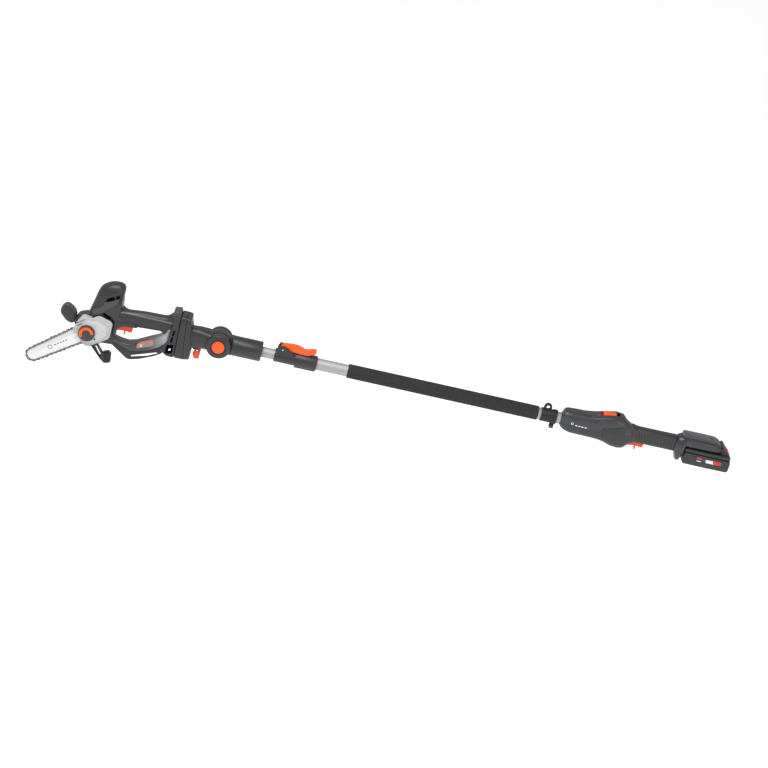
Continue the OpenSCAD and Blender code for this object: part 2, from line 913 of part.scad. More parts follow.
module battery_case() {
    color(dark) place() difference() {
        union() {
            round_box(battery_x, battery_x + battery_l, battery_y, battery_bottom, 3, 6);
        }
        box([826, -battery_y + 2.5, battery_bottom + 2.5],
            [battery_x + battery_l - 3, battery_y - 2.5, 4]);
        for (x = [856, 913]) box([x, -battery_y - 1, battery_bottom - 1],
            [x + 6, battery_y + 1, battery_bottom + 1.6]);
        for (x = [battery_x, battery_x + battery_l]) translate([x, 0, battery_bottom])
            rotate([0, 45, 0]) cube([9, 90, 9], center = true);
    }
}

module battery_lid() {
    color(dark) place() difference() {
        union() {
            round_box(battery_x, battery_x + battery_l - 2, battery_y - 1, -2, 8, 4);
            plate(-24, 24) polygon([
                [920, 6], [920, 28], [925, 28], [948, 5], [948, 4]
            ]);
            box([826, -16, 6], [916, 16, 12]);
            box([826, -20, 11], [916, 20, 14]);
        }
        box([820, -battery_y - 1, -4], [955, battery_y + 1, 3]);
        for (side = [0, 1]) mirror([0, side, 0]) box([822, 6.9, 9.4], [832, 9.1, 13.6]);
        translate([936.5, 0, 16.5]) rotate([0, 45, 0]) box([-10, -12.4, -7], [10, 12.4, 5]);
    }
}

module battery_cells() {
    color("#3a78b0") place() for (i = [0:4]) across(841 + i * 22.4, -15, 10.4, -34, 34);
}

module battery_latch() {
    color("#d8262c") place() translate([936.5, 0, 16.5]) rotate([0, 45, 0]) union() {
        box([-9.6, -12, -3.4], [9.6, 12, 1]);
        for (i = [-1:1]) box([i * 4 - 0.8, -10, 0.5], [i * 4 + 0.8, 10, 1.8]);
    }
}

outer_tube();
foam_grip();
strap_ring();
strap_screw();
clamp_body();
clamp_pin();
clamp_lever();
clamp_pad();
inner_tube();
tube_bush();
pole_socket();
fork_neck();
adapter_block();
adapter_terminals();
pivot_bolt();
joint_button();
adapter_latch();
latch_pin();
body_shell_left();
body_shell_right();
dome_cover();
handle_core();
handle_grip();
hand_guard();
branch_hook();
interface_plate();
status_panel();
front_switch();
front_trigger();
front_trigger_lock();
guide_bar();
saw_chain();
bar_stud();
bar_knob();
knob_tab();
chain_cover();
drive_bearings();
sprocket_shaft();
drive_sprocket();
face_gear();
motor_stator();
motor_rotor();
motor_pinion();
cooling_fan();
rear_shell_left();
rear_shell_right();
rear_grip();
rear_pads();
led_window();
power_slider();
control_board();
rear_switch();
rear_trigger();
rear_trigger_lock();
dock_cover();
dock_terminals();
battery_case();
battery_lid();
battery_cells();
battery_latch();
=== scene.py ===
"""Battery pole saw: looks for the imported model. Lengths in the drawing helpers are
millimetres on the pole line, as in part.scad, and become metres in the row frame."""

import json
import math

import bmesh
import bpy
from mathutils import Matrix, Vector

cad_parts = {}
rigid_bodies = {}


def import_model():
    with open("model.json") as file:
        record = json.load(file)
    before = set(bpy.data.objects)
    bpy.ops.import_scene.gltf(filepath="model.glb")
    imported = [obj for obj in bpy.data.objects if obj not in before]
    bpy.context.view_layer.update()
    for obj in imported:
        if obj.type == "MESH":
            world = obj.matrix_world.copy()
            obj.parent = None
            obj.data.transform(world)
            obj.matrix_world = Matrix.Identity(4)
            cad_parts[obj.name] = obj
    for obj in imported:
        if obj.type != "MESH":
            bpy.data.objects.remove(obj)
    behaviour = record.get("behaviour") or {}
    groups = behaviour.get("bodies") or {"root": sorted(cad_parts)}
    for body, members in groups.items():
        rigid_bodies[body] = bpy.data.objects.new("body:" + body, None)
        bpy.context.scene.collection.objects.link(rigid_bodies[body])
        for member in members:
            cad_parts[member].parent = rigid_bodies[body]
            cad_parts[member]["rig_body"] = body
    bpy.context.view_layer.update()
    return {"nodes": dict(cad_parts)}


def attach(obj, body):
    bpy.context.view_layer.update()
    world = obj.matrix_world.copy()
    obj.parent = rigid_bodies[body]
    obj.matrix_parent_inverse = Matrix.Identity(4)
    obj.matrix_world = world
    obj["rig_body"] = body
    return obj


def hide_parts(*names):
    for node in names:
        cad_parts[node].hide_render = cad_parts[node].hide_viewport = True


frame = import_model()

# The strap eye, at the row frame's origin, stands at ORIGIN_X, ORIGIN_Z on the pole line.
MM = 0.001
ORIGIN_X = 443
ORIGIN_Z = 24
PIVOT_X = -445
STUD = (-788, -39)
BAR_ANGLE = math.radians(37.5)
BAR_REACH = 163.4
SPROCKET_U = 43
BAR_Y = -25


def pole(x, y, z):
    """A point on the pole line's axes, in mm, as metres in the row frame."""
    return Vector(((x - ORIGIN_X) * MM, y * MM, (z - ORIGIN_Z) * MM))


def bar_point(u, w):
    """A point along and across the saw bar, as x and z on the pole line."""
    c, s = math.cos(BAR_ANGLE), math.sin(BAR_ANGLE)
    return STUD[0] + u * c - w * s, STUD[1] + u * s + w * c


# ---------------------------------------------------------------- shader maths


class Socket:
    """A value in a material's nodes that can stand in a Python expression."""

    def __init__(self, mat, out):
        self.mat = mat
        self.out = out

    def maths(self, how, *values):
        return self.mat.node("Math", {"operation": how}, values)

    def __add__(self, other):
        return self.maths("ADD", self, other)

    def __sub__(self, other):
        return self.maths("SUBTRACT", self, other)

    def __rsub__(self, other):
        return self.maths("SUBTRACT", other, self)

    def __mul__(self, other):
        return self.maths("MULTIPLY", self, other)

    def __truediv__(self, other):
        return self.maths("DIVIDE", self, other)

    __radd__ = __add__
    __rmul__ = __mul__

    def sin(self):
        return self.maths("SINE", self)

    def abs(self):
        return self.maths("ABSOLUTE", self)

    def power(self, n):
        return self.maths("POWER", self, n)

    def least(self, other):
        return self.maths("MINIMUM", self, other)

    def most(self, other):
        return self.maths("MAXIMUM", self, other)

    def clamp(self):
        return self.most(0.0).least(1.0)

    def step(self, low, high):
        """0 below low, 1 above high, straight between."""
        return ((self - low) / (high - low)).clamp()


class Material:
    """A Principled material built from expressions."""

    def __init__(self, name, **constants):
        self.data = bpy.data.materials.new(name)
        self.data.use_nodes = True
        self.tree = self.data.node_tree
        self.shader = self.tree.nodes["Principled BSDF"]
        for key, value in constants.items():
            self.set(key.replace("_", " ").title().replace("Ior", "IOR"), value)

    def node(self, kind, settings=(), values=(), out=0):
        """Any node: its settings first, then its inputs in order or by name."""
        node = self.tree.nodes.new("ShaderNode" + kind)
        for key, value in dict(settings).items():
            setattr(node, key, value)
        pairs = values.items() if isinstance(values, dict) else enumerate(values)
        for key, value in pairs:
            if isinstance(value, Socket):
                self.tree.links.new(value.out, node.inputs[key])
            else:
                node.inputs[key].default_value = value
        return Socket(self, node.outputs[out])

    def set(self, name, value):
        socket = self.shader.inputs[name]
        if isinstance(value, Socket):
            self.tree.links.new(value.out, socket)
        elif socket.type == "RGBA":
            socket.default_value = (*value[:3], 1.0)
        else:
            socket.default_value = value

    def place(self):
        """Object coordinates, in metres in the row frame."""
        return self.node("TexCoord", out=3)

    def axes(self):
        """x, y and z on the pole line, in mm."""
        split = self.node("SeparateXYZ", values=[self.place()])
        x, y, z = (Socket(self, split.out.node.outputs[i]) for i in range(3))
        return x / MM + ORIGIN_X, y / MM, z / MM + ORIGIN_Z

    def join(self, x, y, z):
        return self.node("CombineXYZ", values=[x, y, z])

    def noise(self, scale, detail=2.0, at=None, rough=0.5):
        values = {"Vector": at or self.place(), "Scale": scale, "Detail": detail}
        values["Roughness"] = rough
        return self.node("TexNoise", values=values)

    def mix(self, amount, a, b):
        colours = [c if isinstance(c, Socket) else (*c[:3], 1.0) for c in (a, b)]
        values = {0: amount, 6: colours[0], 7: colours[1]}
        return self.node("Mix", {"data_type": "RGBA"}, values, out=2)

    def bump(self, height, distance, strength=1.0):
        values = {"Height": height, "Distance": distance, "Strength": strength}
        self.set("Normal", self.node("Bump", values=values))


def plastic(name, colour, rough=0.5, grain=1.0, wear=0.5):
    """Moulded plastic: spark-eroded grain, faint flow marks and rubbed patches."""
    m = Material(name, specular_ior_level=0.45)
    flow = m.noise(14.0, 3.0)
    speck = m.noise(1500.0, 2.0)
    rub = m.noise(55.0, 4.0).step(0.56, 0.72) * wear
    light = tuple(min(1.0, c * 1.35 + 0.012) for c in colour)
    deep = tuple(c * 0.84 for c in colour)
    base = m.mix((flow * 0.6 + speck * 0.4).step(0.35, 0.68), deep, colour)
    m.set("Base Color", m.mix(rub * 0.45, base, light))
    m.set("Roughness", (rub * -0.12 + speck * 0.16 + (rough - 0.08)).clamp())
    height = speck * 0.6 + m.noise(700.0, 1.0) * 0.4
    m.bump(height, 0.00012 * grain, 0.5)
    return m


def metal(name, colour, rough=0.3, along="x", streak=0.12, metallic=1.0):
    """Drawn or ground metal: fine streaks along one axis and small scratches."""
    m = Material(name, metallic=metallic)
    x, y, z = m.axes()
    thin, long = 14.0, 0.25
    sizes = {"x": (long, thin, thin), "u": (thin, long, thin)}[along]
    at = m.join(x * sizes[0], y * sizes[1], z * sizes[2])
    lines = m.noise(1.0, 3.0, at=at)
    patch = m.noise(30.0, 3.0)
    deep = tuple(c * (1 - streak) for c in colour)
    m.set("Base Color", m.mix((lines * 0.7 + patch * 0.3).step(0.3, 0.7), deep, colour))
    m.set("Roughness", (lines * 0.18 + patch * 0.12 + (rough - 0.12)).clamp())
    m.bump(lines, 0.00004, 0.35)
    return m


DARK = (0.024, 0.024, 0.0245)
TRIM = (0.021, 0.0225, 0.029)
ORANGE = (0.90, 0.095, 0.001)
RED = (0.80, 0.052, 0.006)

dark_plastic = plastic("dark_plastic", DARK, 0.42)
trim_plastic = plastic("trim_plastic", TRIM, 0.34, grain=0.5)
band_plastic = plastic("band_plastic", (0.052, 0.053, 0.054), 0.4, grain=0.7)
dock_plastic = plastic("dock_plastic", (0.062, 0.062, 0.063), 0.28, grain=0.5)
dock_side = plastic("dock_side", (0.030, 0.032, 0.038), 0.3, grain=0.5)
black_plastic = plastic("black_plastic", (0.006, 0.006, 0.007), 0.6)
knob_plastic = plastic("knob_plastic", (0.038, 0.038, 0.039), 0.5)
orange_plastic = plastic("orange_plastic", ORANGE, 0.34, grain=0.4, wear=0.3)
red_plastic = plastic("red_plastic", RED, 0.38, grain=0.4, wear=0.3)
latch_plastic = plastic("latch_plastic", (0.65, 0.004, 0.006), 0.25, grain=0.3)
rail_plastic = plastic("rail_plastic", (0.011, 0.012, 0.015), 0.3, grain=0.5)
# Painted light: a lighter copy of the cover colour for its facet.
painted_facet_light = plastic("painted_facet_light", (0.53, 0.53, 0.535), 0.42, grain=0.4, wear=0.2)
cover_paint = plastic("cover_paint", (0.43, 0.43, 0.43), 0.36, grain=0.8, wear=0.6)
cell_wrap = plastic("cell_wrap", (0.04, 0.2, 0.45), 0.3)
board_green = plastic("board_green", (0.02, 0.12, 0.05), 0.4)
tube_metal = metal("tube_metal", (0.40, 0.40, 0.405), 0.58, metallic=0.6)
steel = metal("steel", (0.72, 0.72, 0.73), 0.28, along="u")
dark_steel = metal("dark_steel", (0.10, 0.10, 0.105), 0.42, along="u", streak=0.4)
chain_steel = metal("chain_steel", (0.23, 0.23, 0.24), 0.42, along="u", streak=0.4)
gold = metal("gold", (0.85, 0.6, 0.2), 0.25, along="u")
copper = metal("copper", (0.55, 0.24, 0.12), 0.35, along="u", streak=0.3)


def ribbed_grip(name, low, high, pitch, strip=True):
    """Soft overmould: moulded ribs on its sides, with painted shade in their grooves and a
    painted highlight on their crests, and a smooth, shinier strip above them that carries a
    painted highlight line.
    """
    m = Material(name, specular_ior_level=0.5)
    x, y, z = m.axes()
    side = z.step(low, low + 2.0) * (1 - z.step(high - 2.0, high)) * y.abs().step(12.0, 14.0)
    wave = ((x + z * 0.12) * (2 * math.pi / pitch)).sin() * 0.5 + 0.5
    speck = m.noise(1500.0, 2.0)
    flow = m.noise(20.0, 3.0)
    groove = side * (1 - wave.power(0.6))
    shade = (flow * 0.5 + speck * 0.3).step(0.2, 0.6)
    base = m.mix(shade, (0.019, 0.019, 0.019), (0.027, 0.027, 0.0275))
    # Painted shade: the grooves between the ribs are darkened in colour.
    base = m.mix(groove * 0.8, base, (0.009, 0.009, 0.009))
    # Painted highlight: the rib crests are lightened in colour.
    base = m.mix(side * wave.power(3.0) * 0.4, base, (0.05, 0.05, 0.051))
    gloss = 1 - side
    if strip:
        # Painted highlight: a light line along each side just above the ribs.
        line = (z - (high + 1.5)).abs()
        painted_highlight = (1 - line.step(1.2, 2.2)) * y.abs().step(11.0, 12.5)
        base = m.mix(painted_highlight * 0.8, base, (0.15, 0.15, 0.15))
    m.set("Base Color", base)
    m.set("Roughness", (speck * 0.1 + 0.56 - gloss * 0.16).clamp())
    m.bump(wave * side * 3.0 + speck * 0.3, 0.0003, 0.6)
    return m


def panel_film():
    """Grey key film: a soft key and a small lamp row, no lettering."""
    m = Material("key_film", roughness=0.25)
    x, y, z = m.axes()
    u = (x + 634) * 0.88 + (z + 44) * 0.47
    w = (z + 44) * 0.88 - (x + 634) * 0.47
    speck = m.noise(900.0, 2.0)
    base = m.mix(speck, (0.17, 0.175, 0.18), (0.24, 0.245, 0.25))
    key = (1 - (u + 12).abs().step(2.8, 3.3)) * (1 - w.abs().step(3.2, 3.8))
    bars = (1 - (u - 6).abs().step(8.5, 9.0)) * (1 - w.abs().step(2.4, 2.8))
    bars = bars * (u * (2 * math.pi / 5.0)).sin().step(-0.2, 0.2)
    base = m.mix(key * 0.8, base, (0.5, 0.5, 0.5))
    m.set("Base Color", m.mix(bars * 0.6, base, (0.05, 0.16, 0.17)))
    m.bump(speck, 0.00005, 0.3)
    return m


key_film = panel_film()


def two_tone():
    """Housing in two shades that meet on a stepped line, with a parting groove low down; in the
    lower shade, painted light makes the face above a crease lighter and the face below it darker.
    """
    m = Material("housing_plastic", specular_ior_level=0.45)
    x, y, z = m.axes()
    line = x.step(497, 514) * -15 + x.step(514, 554) * 6 + x.step(574, 588) * 13
    line = line + x.step(634, 650) * 4 + 28
    upper = (z - line).step(-0.5, 0.5)
    # Painted light: the face above this crease line is coloured lighter than the face below it.
    facet = (z - x.step(560, 588) * 5 + 1.5).step(-0.6, 0.6)
    seam = x.step(488, 508) * 12 + 14 + z
    groove = (1 - seam.abs().step(0.3, 0.8)).most(1 - (z - line).abs().step(0.3, 0.8))
    speck = m.noise(1500.0, 2.0)
    flow = m.noise(14.0, 3.0)
    low = m.mix(facet, (0.021, 0.0225, 0.027), (0.036, 0.038, 0.044))
    base = m.mix(upper, low, (0.027, 0.027, 0.028))
    base = m.mix((flow * 0.6 + speck * 0.4).step(0.35, 0.68) * 0.25, base, (0.05, 0.05, 0.052))
    m.set("Base Color", m.mix(groove * 0.8, base, (0.006, 0.006, 0.006)))
    m.set("Roughness", speck * 0.15 + (0.36 - facet * 0.06))
    m.bump(speck * 0.1 - groove, 0.0005, 0.5)
    return m


def guard_skin():
    """Satin guard with a painted highlight that grows lighter towards its rear end."""
    m = Material("guard_plastic", specular_ior_level=0.5)
    x, y, z = m.axes()
    speck = m.noise(1500.0, 2.0)
    flow = m.noise(16.0, 3.0)
    # Painted highlight: the colour runs from dark to light grey towards the rear end.
    painted_rear_highlight = (x + z * 0.6 + flow * 10).step(-672, -598)
    base = m.mix(painted_rear_highlight * painted_rear_highlight, (0.032, 0.032, 0.033), (0.30, 0.30, 0.305))
    m.set("Base Color", m.mix(speck * 0.12, base, (0.08, 0.08, 0.08)))
    m.set("Roughness", speck * 0.15 + 0.24)
    m.bump(speck, 0.00006, 0.4)
    return m


def shadow():
    """Unlit inside of a slot: almost black, with a trace of dust."""
    m = Material("recess", specular_ior_level=0.0, roughness=0.9)
    dust = m.noise(60.0, 3.0).step(0.45, 0.8)
    m.set("Base Color", m.mix(dust, (0.0015, 0.0015, 0.0015), (0.005, 0.005, 0.005)))
    m.bump(dust, 0.0001, 0.3)
    return m


recess = shadow()
housing_plastic = two_tone()
guard_plastic = guard_skin()
white_print = plastic("white_print", (0.75, 0.75, 0.75), 0.45, grain=0.2, wear=0.2)
red_print = plastic("red_print", (0.62, 0.02, 0.02), 0.45, grain=0.2, wear=0.2)
handle_rubber = ribbed_grip("handle_rubber", 1.0, 29.0, 4.2)
rear_rubber = ribbed_grip("rear_rubber", -14.0, 18.0, 7.6, strip=False)


def foam():
    """Closed-cell foam sleeve: pitted skin."""
    m = Material("foam", roughness=0.88, specular_ior_level=0.25)
    cells = m.node("TexVoronoi", values={"Vector": m.place(), "Scale": 700.0})
    blotch = m.noise(60.0, 3.0)
    shade = (cells * 0.6 + blotch * 0.5).step(0.2, 0.75)
    m.set("Base Color", m.mix(shade, (0.014, 0.014, 0.014), (0.034, 0.034, 0.034)))
    m.bump(cells + m.noise(1600.0, 2.0) * 0.5, 0.0005, 0.7)
    return m


def bar_face():
    """Light bar with ground edges and a plain generic mark on its near face."""
    m = Material("bar_face", metallic=0.35)
    x, y, z = m.axes()
    c, s = math.cos(BAR_ANGLE), math.sin(BAR_ANGLE)
    u = (x - STUD[0]) * c + (z - STUD[1]) * s
    w = (z - STUD[1]) * c - (x - STUD[0]) * s
    lines = m.noise(1.0, 3.0, at=m.join(u * 0.2, y, w * 9.0))
    base = m.mix(lines.step(0.3, 0.7), (0.64, 0.64, 0.645), (0.74, 0.74, 0.74))
    ring = 1 - (((u + 112) * (u + 112) + w * w).power(0.5) - 5.6).abs().step(0.7, 1.1)
    dash = 1 - (w.abs() - 1.4).step(0.0, 0.3)
    dash = dash * u.step(-101, -100.6) * (1 - u.step(-60.4, -60))
    gaps = (u * (2 * math.pi / 8.2)).sin().step(-0.55, -0.45)
    mark = ring.most(dash * gaps) * (1 - (y - BAR_Y).step(-0.5, 0.0))
    m.set("Base Color", m.mix(mark * 0.9, base, (0.07, 0.07, 0.075)))
    m.set("Roughness", lines * 0.2 + 0.26)
    m.bump(lines, 0.00004, 0.3)
    return m


foam_skin = foam()
bar_paint = bar_face()


# ---------------------------------------------------------------- mesh helpers


def finish_piece(obj, body, material, replaces=(), angle=35.0):
    """Smooth shading, material, body and the CAD nodes the piece stands for."""
    obj.data.materials.clear()
    obj.data.materials.append(material.data)
    for face in obj.data.polygons:
        face.use_smooth = True
    obj.data.set_sharp_from_angle(angle=math.radians(angle))
    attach(obj, body)
    if replaces:
        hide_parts(*replaces)
    return obj


def new_object(name, bm):
    mesh = bpy.data.meshes.new(name)
    bm.to_mesh(mesh)
    bm.free()
    obj = bpy.data.objects.new(name, mesh)
    bpy.context.scene.collection.objects.link(obj)
    return obj


def bake(obj):
    """Turns the object's modifiers into its mesh."""
    graph = bpy.context.evaluated_depsgraph_get()
    mesh = bpy.data.meshes.new_from_object(obj.evaluated_get(graph))
    old = obj.data
    obj.modifiers.clear()
    obj.data = mesh
    bpy.data.meshes.remove(old)
    return obj


def modify(obj, kind, **settings):
    modifier = obj.modifiers.new(kind.lower(), kind)
    for key, value in settings.items():
        setattr(modifier, key, value)
    return modifier


def from_cad(node, material, bevel):
    """A copy of a CAD node with its edges rounded as a mould or a file leaves them."""
    source = frame["nodes"][node]
    bm = bmesh.new()
    bm.from_mesh(source.data)
    bmesh.ops.remove_doubles(bm, verts=bm.verts, dist=1e-6)
    flat = math.radians(0.6)
    bmesh.ops.dissolve_limit(bm, angle_limit=flat, verts=bm.verts, edges=bm.edges)
    obj = new_object("look_" + node, bm)
    limit = math.radians(28)
    modify(
        obj, "BEVEL", width=bevel * MM, segments=2, angle_limit=limit,
        limit_method="ANGLE", use_clamp_overlap=True, miter_outer="MITER_ARC",
    )
    bake(obj)
    return finish_piece(obj, source["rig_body"], material, [node])


# ---------------------------------------------------------------- shape helpers


def rounded(points, radius, steps=4):
    """The outline with each corner turned into a short curve."""
    result = []
    count = len(points)
    for i, corner in enumerate(points):
        here = Vector(corner)
        before, after = Vector(points[i - 1]) - here, Vector(points[(i + 1) % count]) - here
        reach = min(radius, before.length * 0.45, after.length * 0.45)
        start, end = here + before.normalized() * reach, here + after.normalized() * reach
        for k in range(steps + 1):
            t = k / steps
            result.append(start * (1 - t) ** 2 + here * (2 * t * (1 - t)) + end * t * t)
    return result


def block(x0, z0, x1, z1):
    """Four corners of an upright box's side."""
    return [(x0, z0), (x1, z0), (x1, z1), (x0, z1)]


def circle(x, z, r, steps=64, start=0.0, end=360.0):
    """Points round a circle or an arc of it, in x and z."""
    turn = math.radians(end - start)
    count = steps if end - start >= 360 else steps + 1
    angles = [math.radians(start) + turn * i / steps for i in range(count)]
    return [(x + r * math.cos(a), z + r * math.sin(a)) for a in angles]


def plate(name, outlines, y0, y1, edge, body, material, replaces=()):
    """A plate between two y values with rounded edges; further outlines are holes."""
    curve = bpy.data.curves.new(name, "CURVE")
    curve.dimensions = "2D"
    curve.fill_mode = "BOTH"
    curve.extrude = max(0.001, (y1 - y0) / 2 - edge)
    curve.bevel_depth = edge
    curve.bevel_resolution = 2
    curve.offset = -edge
    for outline in outlines:
        spline = curve.splines.new("POLY")
        spline.points.add(len(outline) - 1)
        spline.use_cyclic_u = True
        for point, (x, z) in zip(spline.points, outline):
            point.co = (x, z, 0.0, 1.0)
    holder = bpy.data.objects.new(name + "_curve", curve)
    mesh = bpy.data.meshes.new_from_object(holder)
    bpy.data.objects.remove(holder)
    bpy.data.curves.remove(curve)
    middle = (y0 + y1) / 2
    for vertex in mesh.vertices:
        x, z, across = vertex.co
        vertex.co = pole(x, middle - across, z)
    bm = bmesh.new()
    bm.from_mesh(mesh)
    bpy.data.meshes.remove(mesh)
    bmesh.ops.remove_doubles(bm, verts=bm.verts, dist=2e-5)
    return finish_piece(new_object(name, bm), body, material, replaces)


def between(rows, fine):
    """Rows of numbers with smooth in-between rows added."""
    result = []
    last = len(rows) - 1
    for i in range(last):
        a, b, c, d = (rows[max(0, min(last, k))] for k in (i - 1, i, i + 1, i + 2))
        for k in range(fine):
            t = k / fine
            row = []
            for p, q, r, s in zip(a, b, c, d):
                slope_in, slope_out = (r - p) / 2, (s - q) / 2
                h = 2 * t**3 - 3 * t * t + 1, t**3 - 2 * t * t + t
                g = -2 * t**3 + 3 * t * t, t**3 - t * t
                row.append(h[0] * q + h[1] * slope_in + g[0] * r + g[1] * slope_out)
            result.append(row)
    return result + [list(rows[-1])]


def bulge(angle, n):
    """A point of a superellipse with squareness n."""
    c, s = math.cos(angle), math.sin(angle)
    return math.copysign(abs(c) ** (2 / n), c), math.copysign(abs(s) ** (2 / n), s)


def skin(name, rings, body, material, replaces=(), angle=35.0):
    """A closed body through rings of points on the pole line."""
    bm = bmesh.new()
    layers = [[bm.verts.new(pole(*point)) for point in ring] for ring in rings]
    count = len(layers[0])
    for one, two in zip(layers, layers[1:]):
        for i in range(count):
            k = (i + 1) % count
            bm.faces.new((one[i], one[k], two[k], two[i]))
    bm.faces.new(reversed(layers[0]))
    bm.faces.new(layers[-1])
    bmesh.ops.recalc_face_normals(bm, faces=bm.faces)
    return finish_piece(new_object(name, bm), body, material, replaces, angle)


def loft(name, sections, axis, body, material, replaces=(), fine=4, steps=56, angle=35.0):
    """Through sections [place, low, high, half width, squareness] along x or z."""
    rings = []
    for at, low, high, half, n in between(sections, fine):
        ring = []
        for i in range(steps):
            p, q = bulge((i + 0.5) * 2 * math.pi / steps, n)
            if axis == "x":
                ring.append((at, half * p, (low + high) / 2 + (high - low) / 2 * q))
            else:
                ring.append(((low + high) / 2 + (high - low) / 2 * p, half * q, at))
        rings.append(ring)
    return skin(name, rings, body, material, replaces, angle)


def sweep(name, stations, body, material, replaces=(), fine=4, steps=32, angle=35.0):
    """A bar along stations [x, z, half thickness, y middle, half width, squareness]."""
    rows = between(stations, fine)
    rings = []
    for i, (x, z, thick, y, half, n) in enumerate(rows):
        back, ahead = rows[max(0, i - 1)], rows[min(len(rows) - 1, i + 1)]
        way = Vector((ahead[0] - back[0], ahead[1] - back[1])).normalized()
        ring = []
        for k in range(steps):
            p, q = bulge((k + 0.5) * 2 * math.pi / steps, n)
            ring.append((x - way.y * thick * p, y + half * q, z + way.x * thick * p))
        rings.append(ring)
    return skin(name, rings, body, material, replaces, angle)


def carve(obj, outline, y0, y1):
    """Cuts a straight-sided shape out of a piece between two y values."""
    bm = bmesh.new()
    rings = [[bm.verts.new(pole(x, y, z)) for x, z in outline] for y in (y0, y1)]
    bm.faces.new(rings[0])
    bm.faces.new(reversed(rings[1]))
    for i in range(len(outline)):
        k = (i + 1) % len(outline)
        bm.faces.new((rings[0][k], rings[0][i], rings[1][i], rings[1][k]))
    bmesh.ops.recalc_face_normals(bm, faces=bm.faces)
    cutter = new_object("cutter", bm)
    modify(obj, "BOOLEAN", operation="DIFFERENCE", object=cutter, solver="EXACT")
    material = obj.data.materials[0]
    bake(obj)
    obj.data.materials.clear()
    obj.data.materials.append(material)
    bpy.data.objects.remove(cutter)
    obj.data.set_sharp_from_angle(angle=math.radians(35))
    return obj


def on_surface(name, outline, reach, lift, depth, body, material, side=-1, cell=3.0):
    """A thin panel that follows a curved side, whose half width is reach(x, z)."""
    bm = bmesh.new()
    face = bm.faces.new([bm.verts.new((x, 0.0, z)) for x, z in outline])
    bmesh.ops.triangulate(bm, faces=[face])
    for axis, values in ((0, [p[0] for p in outline]), (2, [p[1] for p in outline])):
        normal = Vector((1.0, 0, 0)) if axis == 0 else Vector((0, 0, 1.0))
        at = min(values) + cell
        while at < max(values):
            everything = bm.verts[:] + bm.edges[:] + bm.faces[:]
            bmesh.ops.bisect_plane(bm, geom=everything, plane_co=normal * at, plane_no=normal)
            at += cell
    bmesh.ops.recalc_face_normals(bm, faces=bm.faces)
    top = {v: (v.co.x, v.co.z) for v in bm.verts}
    copy = bmesh.ops.duplicate(bm, geom=bm.verts[:] + bm.edges[:] + bm.faces[:])
    twin = copy["vert_map"]
    rim = [e for e in bm.edges if e.is_boundary and e.verts[0] in top]
    for edge in rim:
        a, b = edge.verts
        bm.faces.new((a, b, twin[b], twin[a]))
    for vertex, (x, z) in top.items():
        y = reach(x, z)
        vertex.co = pole(x, side * (y + lift), z)
        twin[vertex].co = pole(x, side * (y + lift - depth), z)
    bmesh.ops.recalc_face_normals(bm, faces=bm.faces)
    return finish_piece(new_object(name, bm), body, material, angle=40.0)


# ---------------------------------------------------------------- saw bar and chain


def chain_line(grow):
    """Points on the chain's loop round the bar, evenly spaced, with their outward way."""
    rounds = [(-BAR_REACH, 15.5), (-20.0, 20.6), (SPROCKET_U, 11.0)]
    raw = []
    for i in range(720):
        a = math.radians(i / 2)
        c, s = math.cos(a), math.sin(a)
        centre, r = max(rounds, key=lambda one: one[0] * c + one[1])
        raw.append(Vector((centre + (r + grow) * c, (r + grow) * s)))
    raw.append(raw[0])
    lengths = [0.0]
    for a, b in zip(raw, raw[1:]):
        lengths.append(lengths[-1] + (b - a).length)
    count = 2 * round(lengths[-1] / 12.7)
    points = []
    k = 0
    for i in range(count):
        goal = lengths[-1] * i / count
        while lengths[k + 1] < goal:
            k += 1
        t = (goal - lengths[k]) / max(1e-9, lengths[k + 1] - lengths[k])
        points.append(raw[k].lerp(raw[k + 1], t))
    return points


def link_outline(kind):
    """Side view of one link, from its rivet at 0 to the next at 1, height outwards."""
    if kind == "strap":
        return [(-0.34, -2.2), (1.34, -2.2), (1.42, 0.8), (1.3, 3.2), (0.9, 2.6),
                (0.5, 1.5), (0.1, 2.6), (-0.3, 3.2), (-0.42, 0.8)]
    if kind == "drive":
        return [(-0.3, -2.4), (1.3, -2.4), (1.34, 1.2), (0.9, 3.4), (0.4, 4.1), (-0.1, 2.8),
                (-0.34, 1.0)]
    return [(-0.36, -1.6), (1.36, -1.6), (1.45, 1.4), (1.5, 4.3), (0.62, 4.9), (0.5, 2.2),
            (0.25, 1.8), (0.05, 2.4), (-0.1, 4.1), (-0.42, 3.4)]


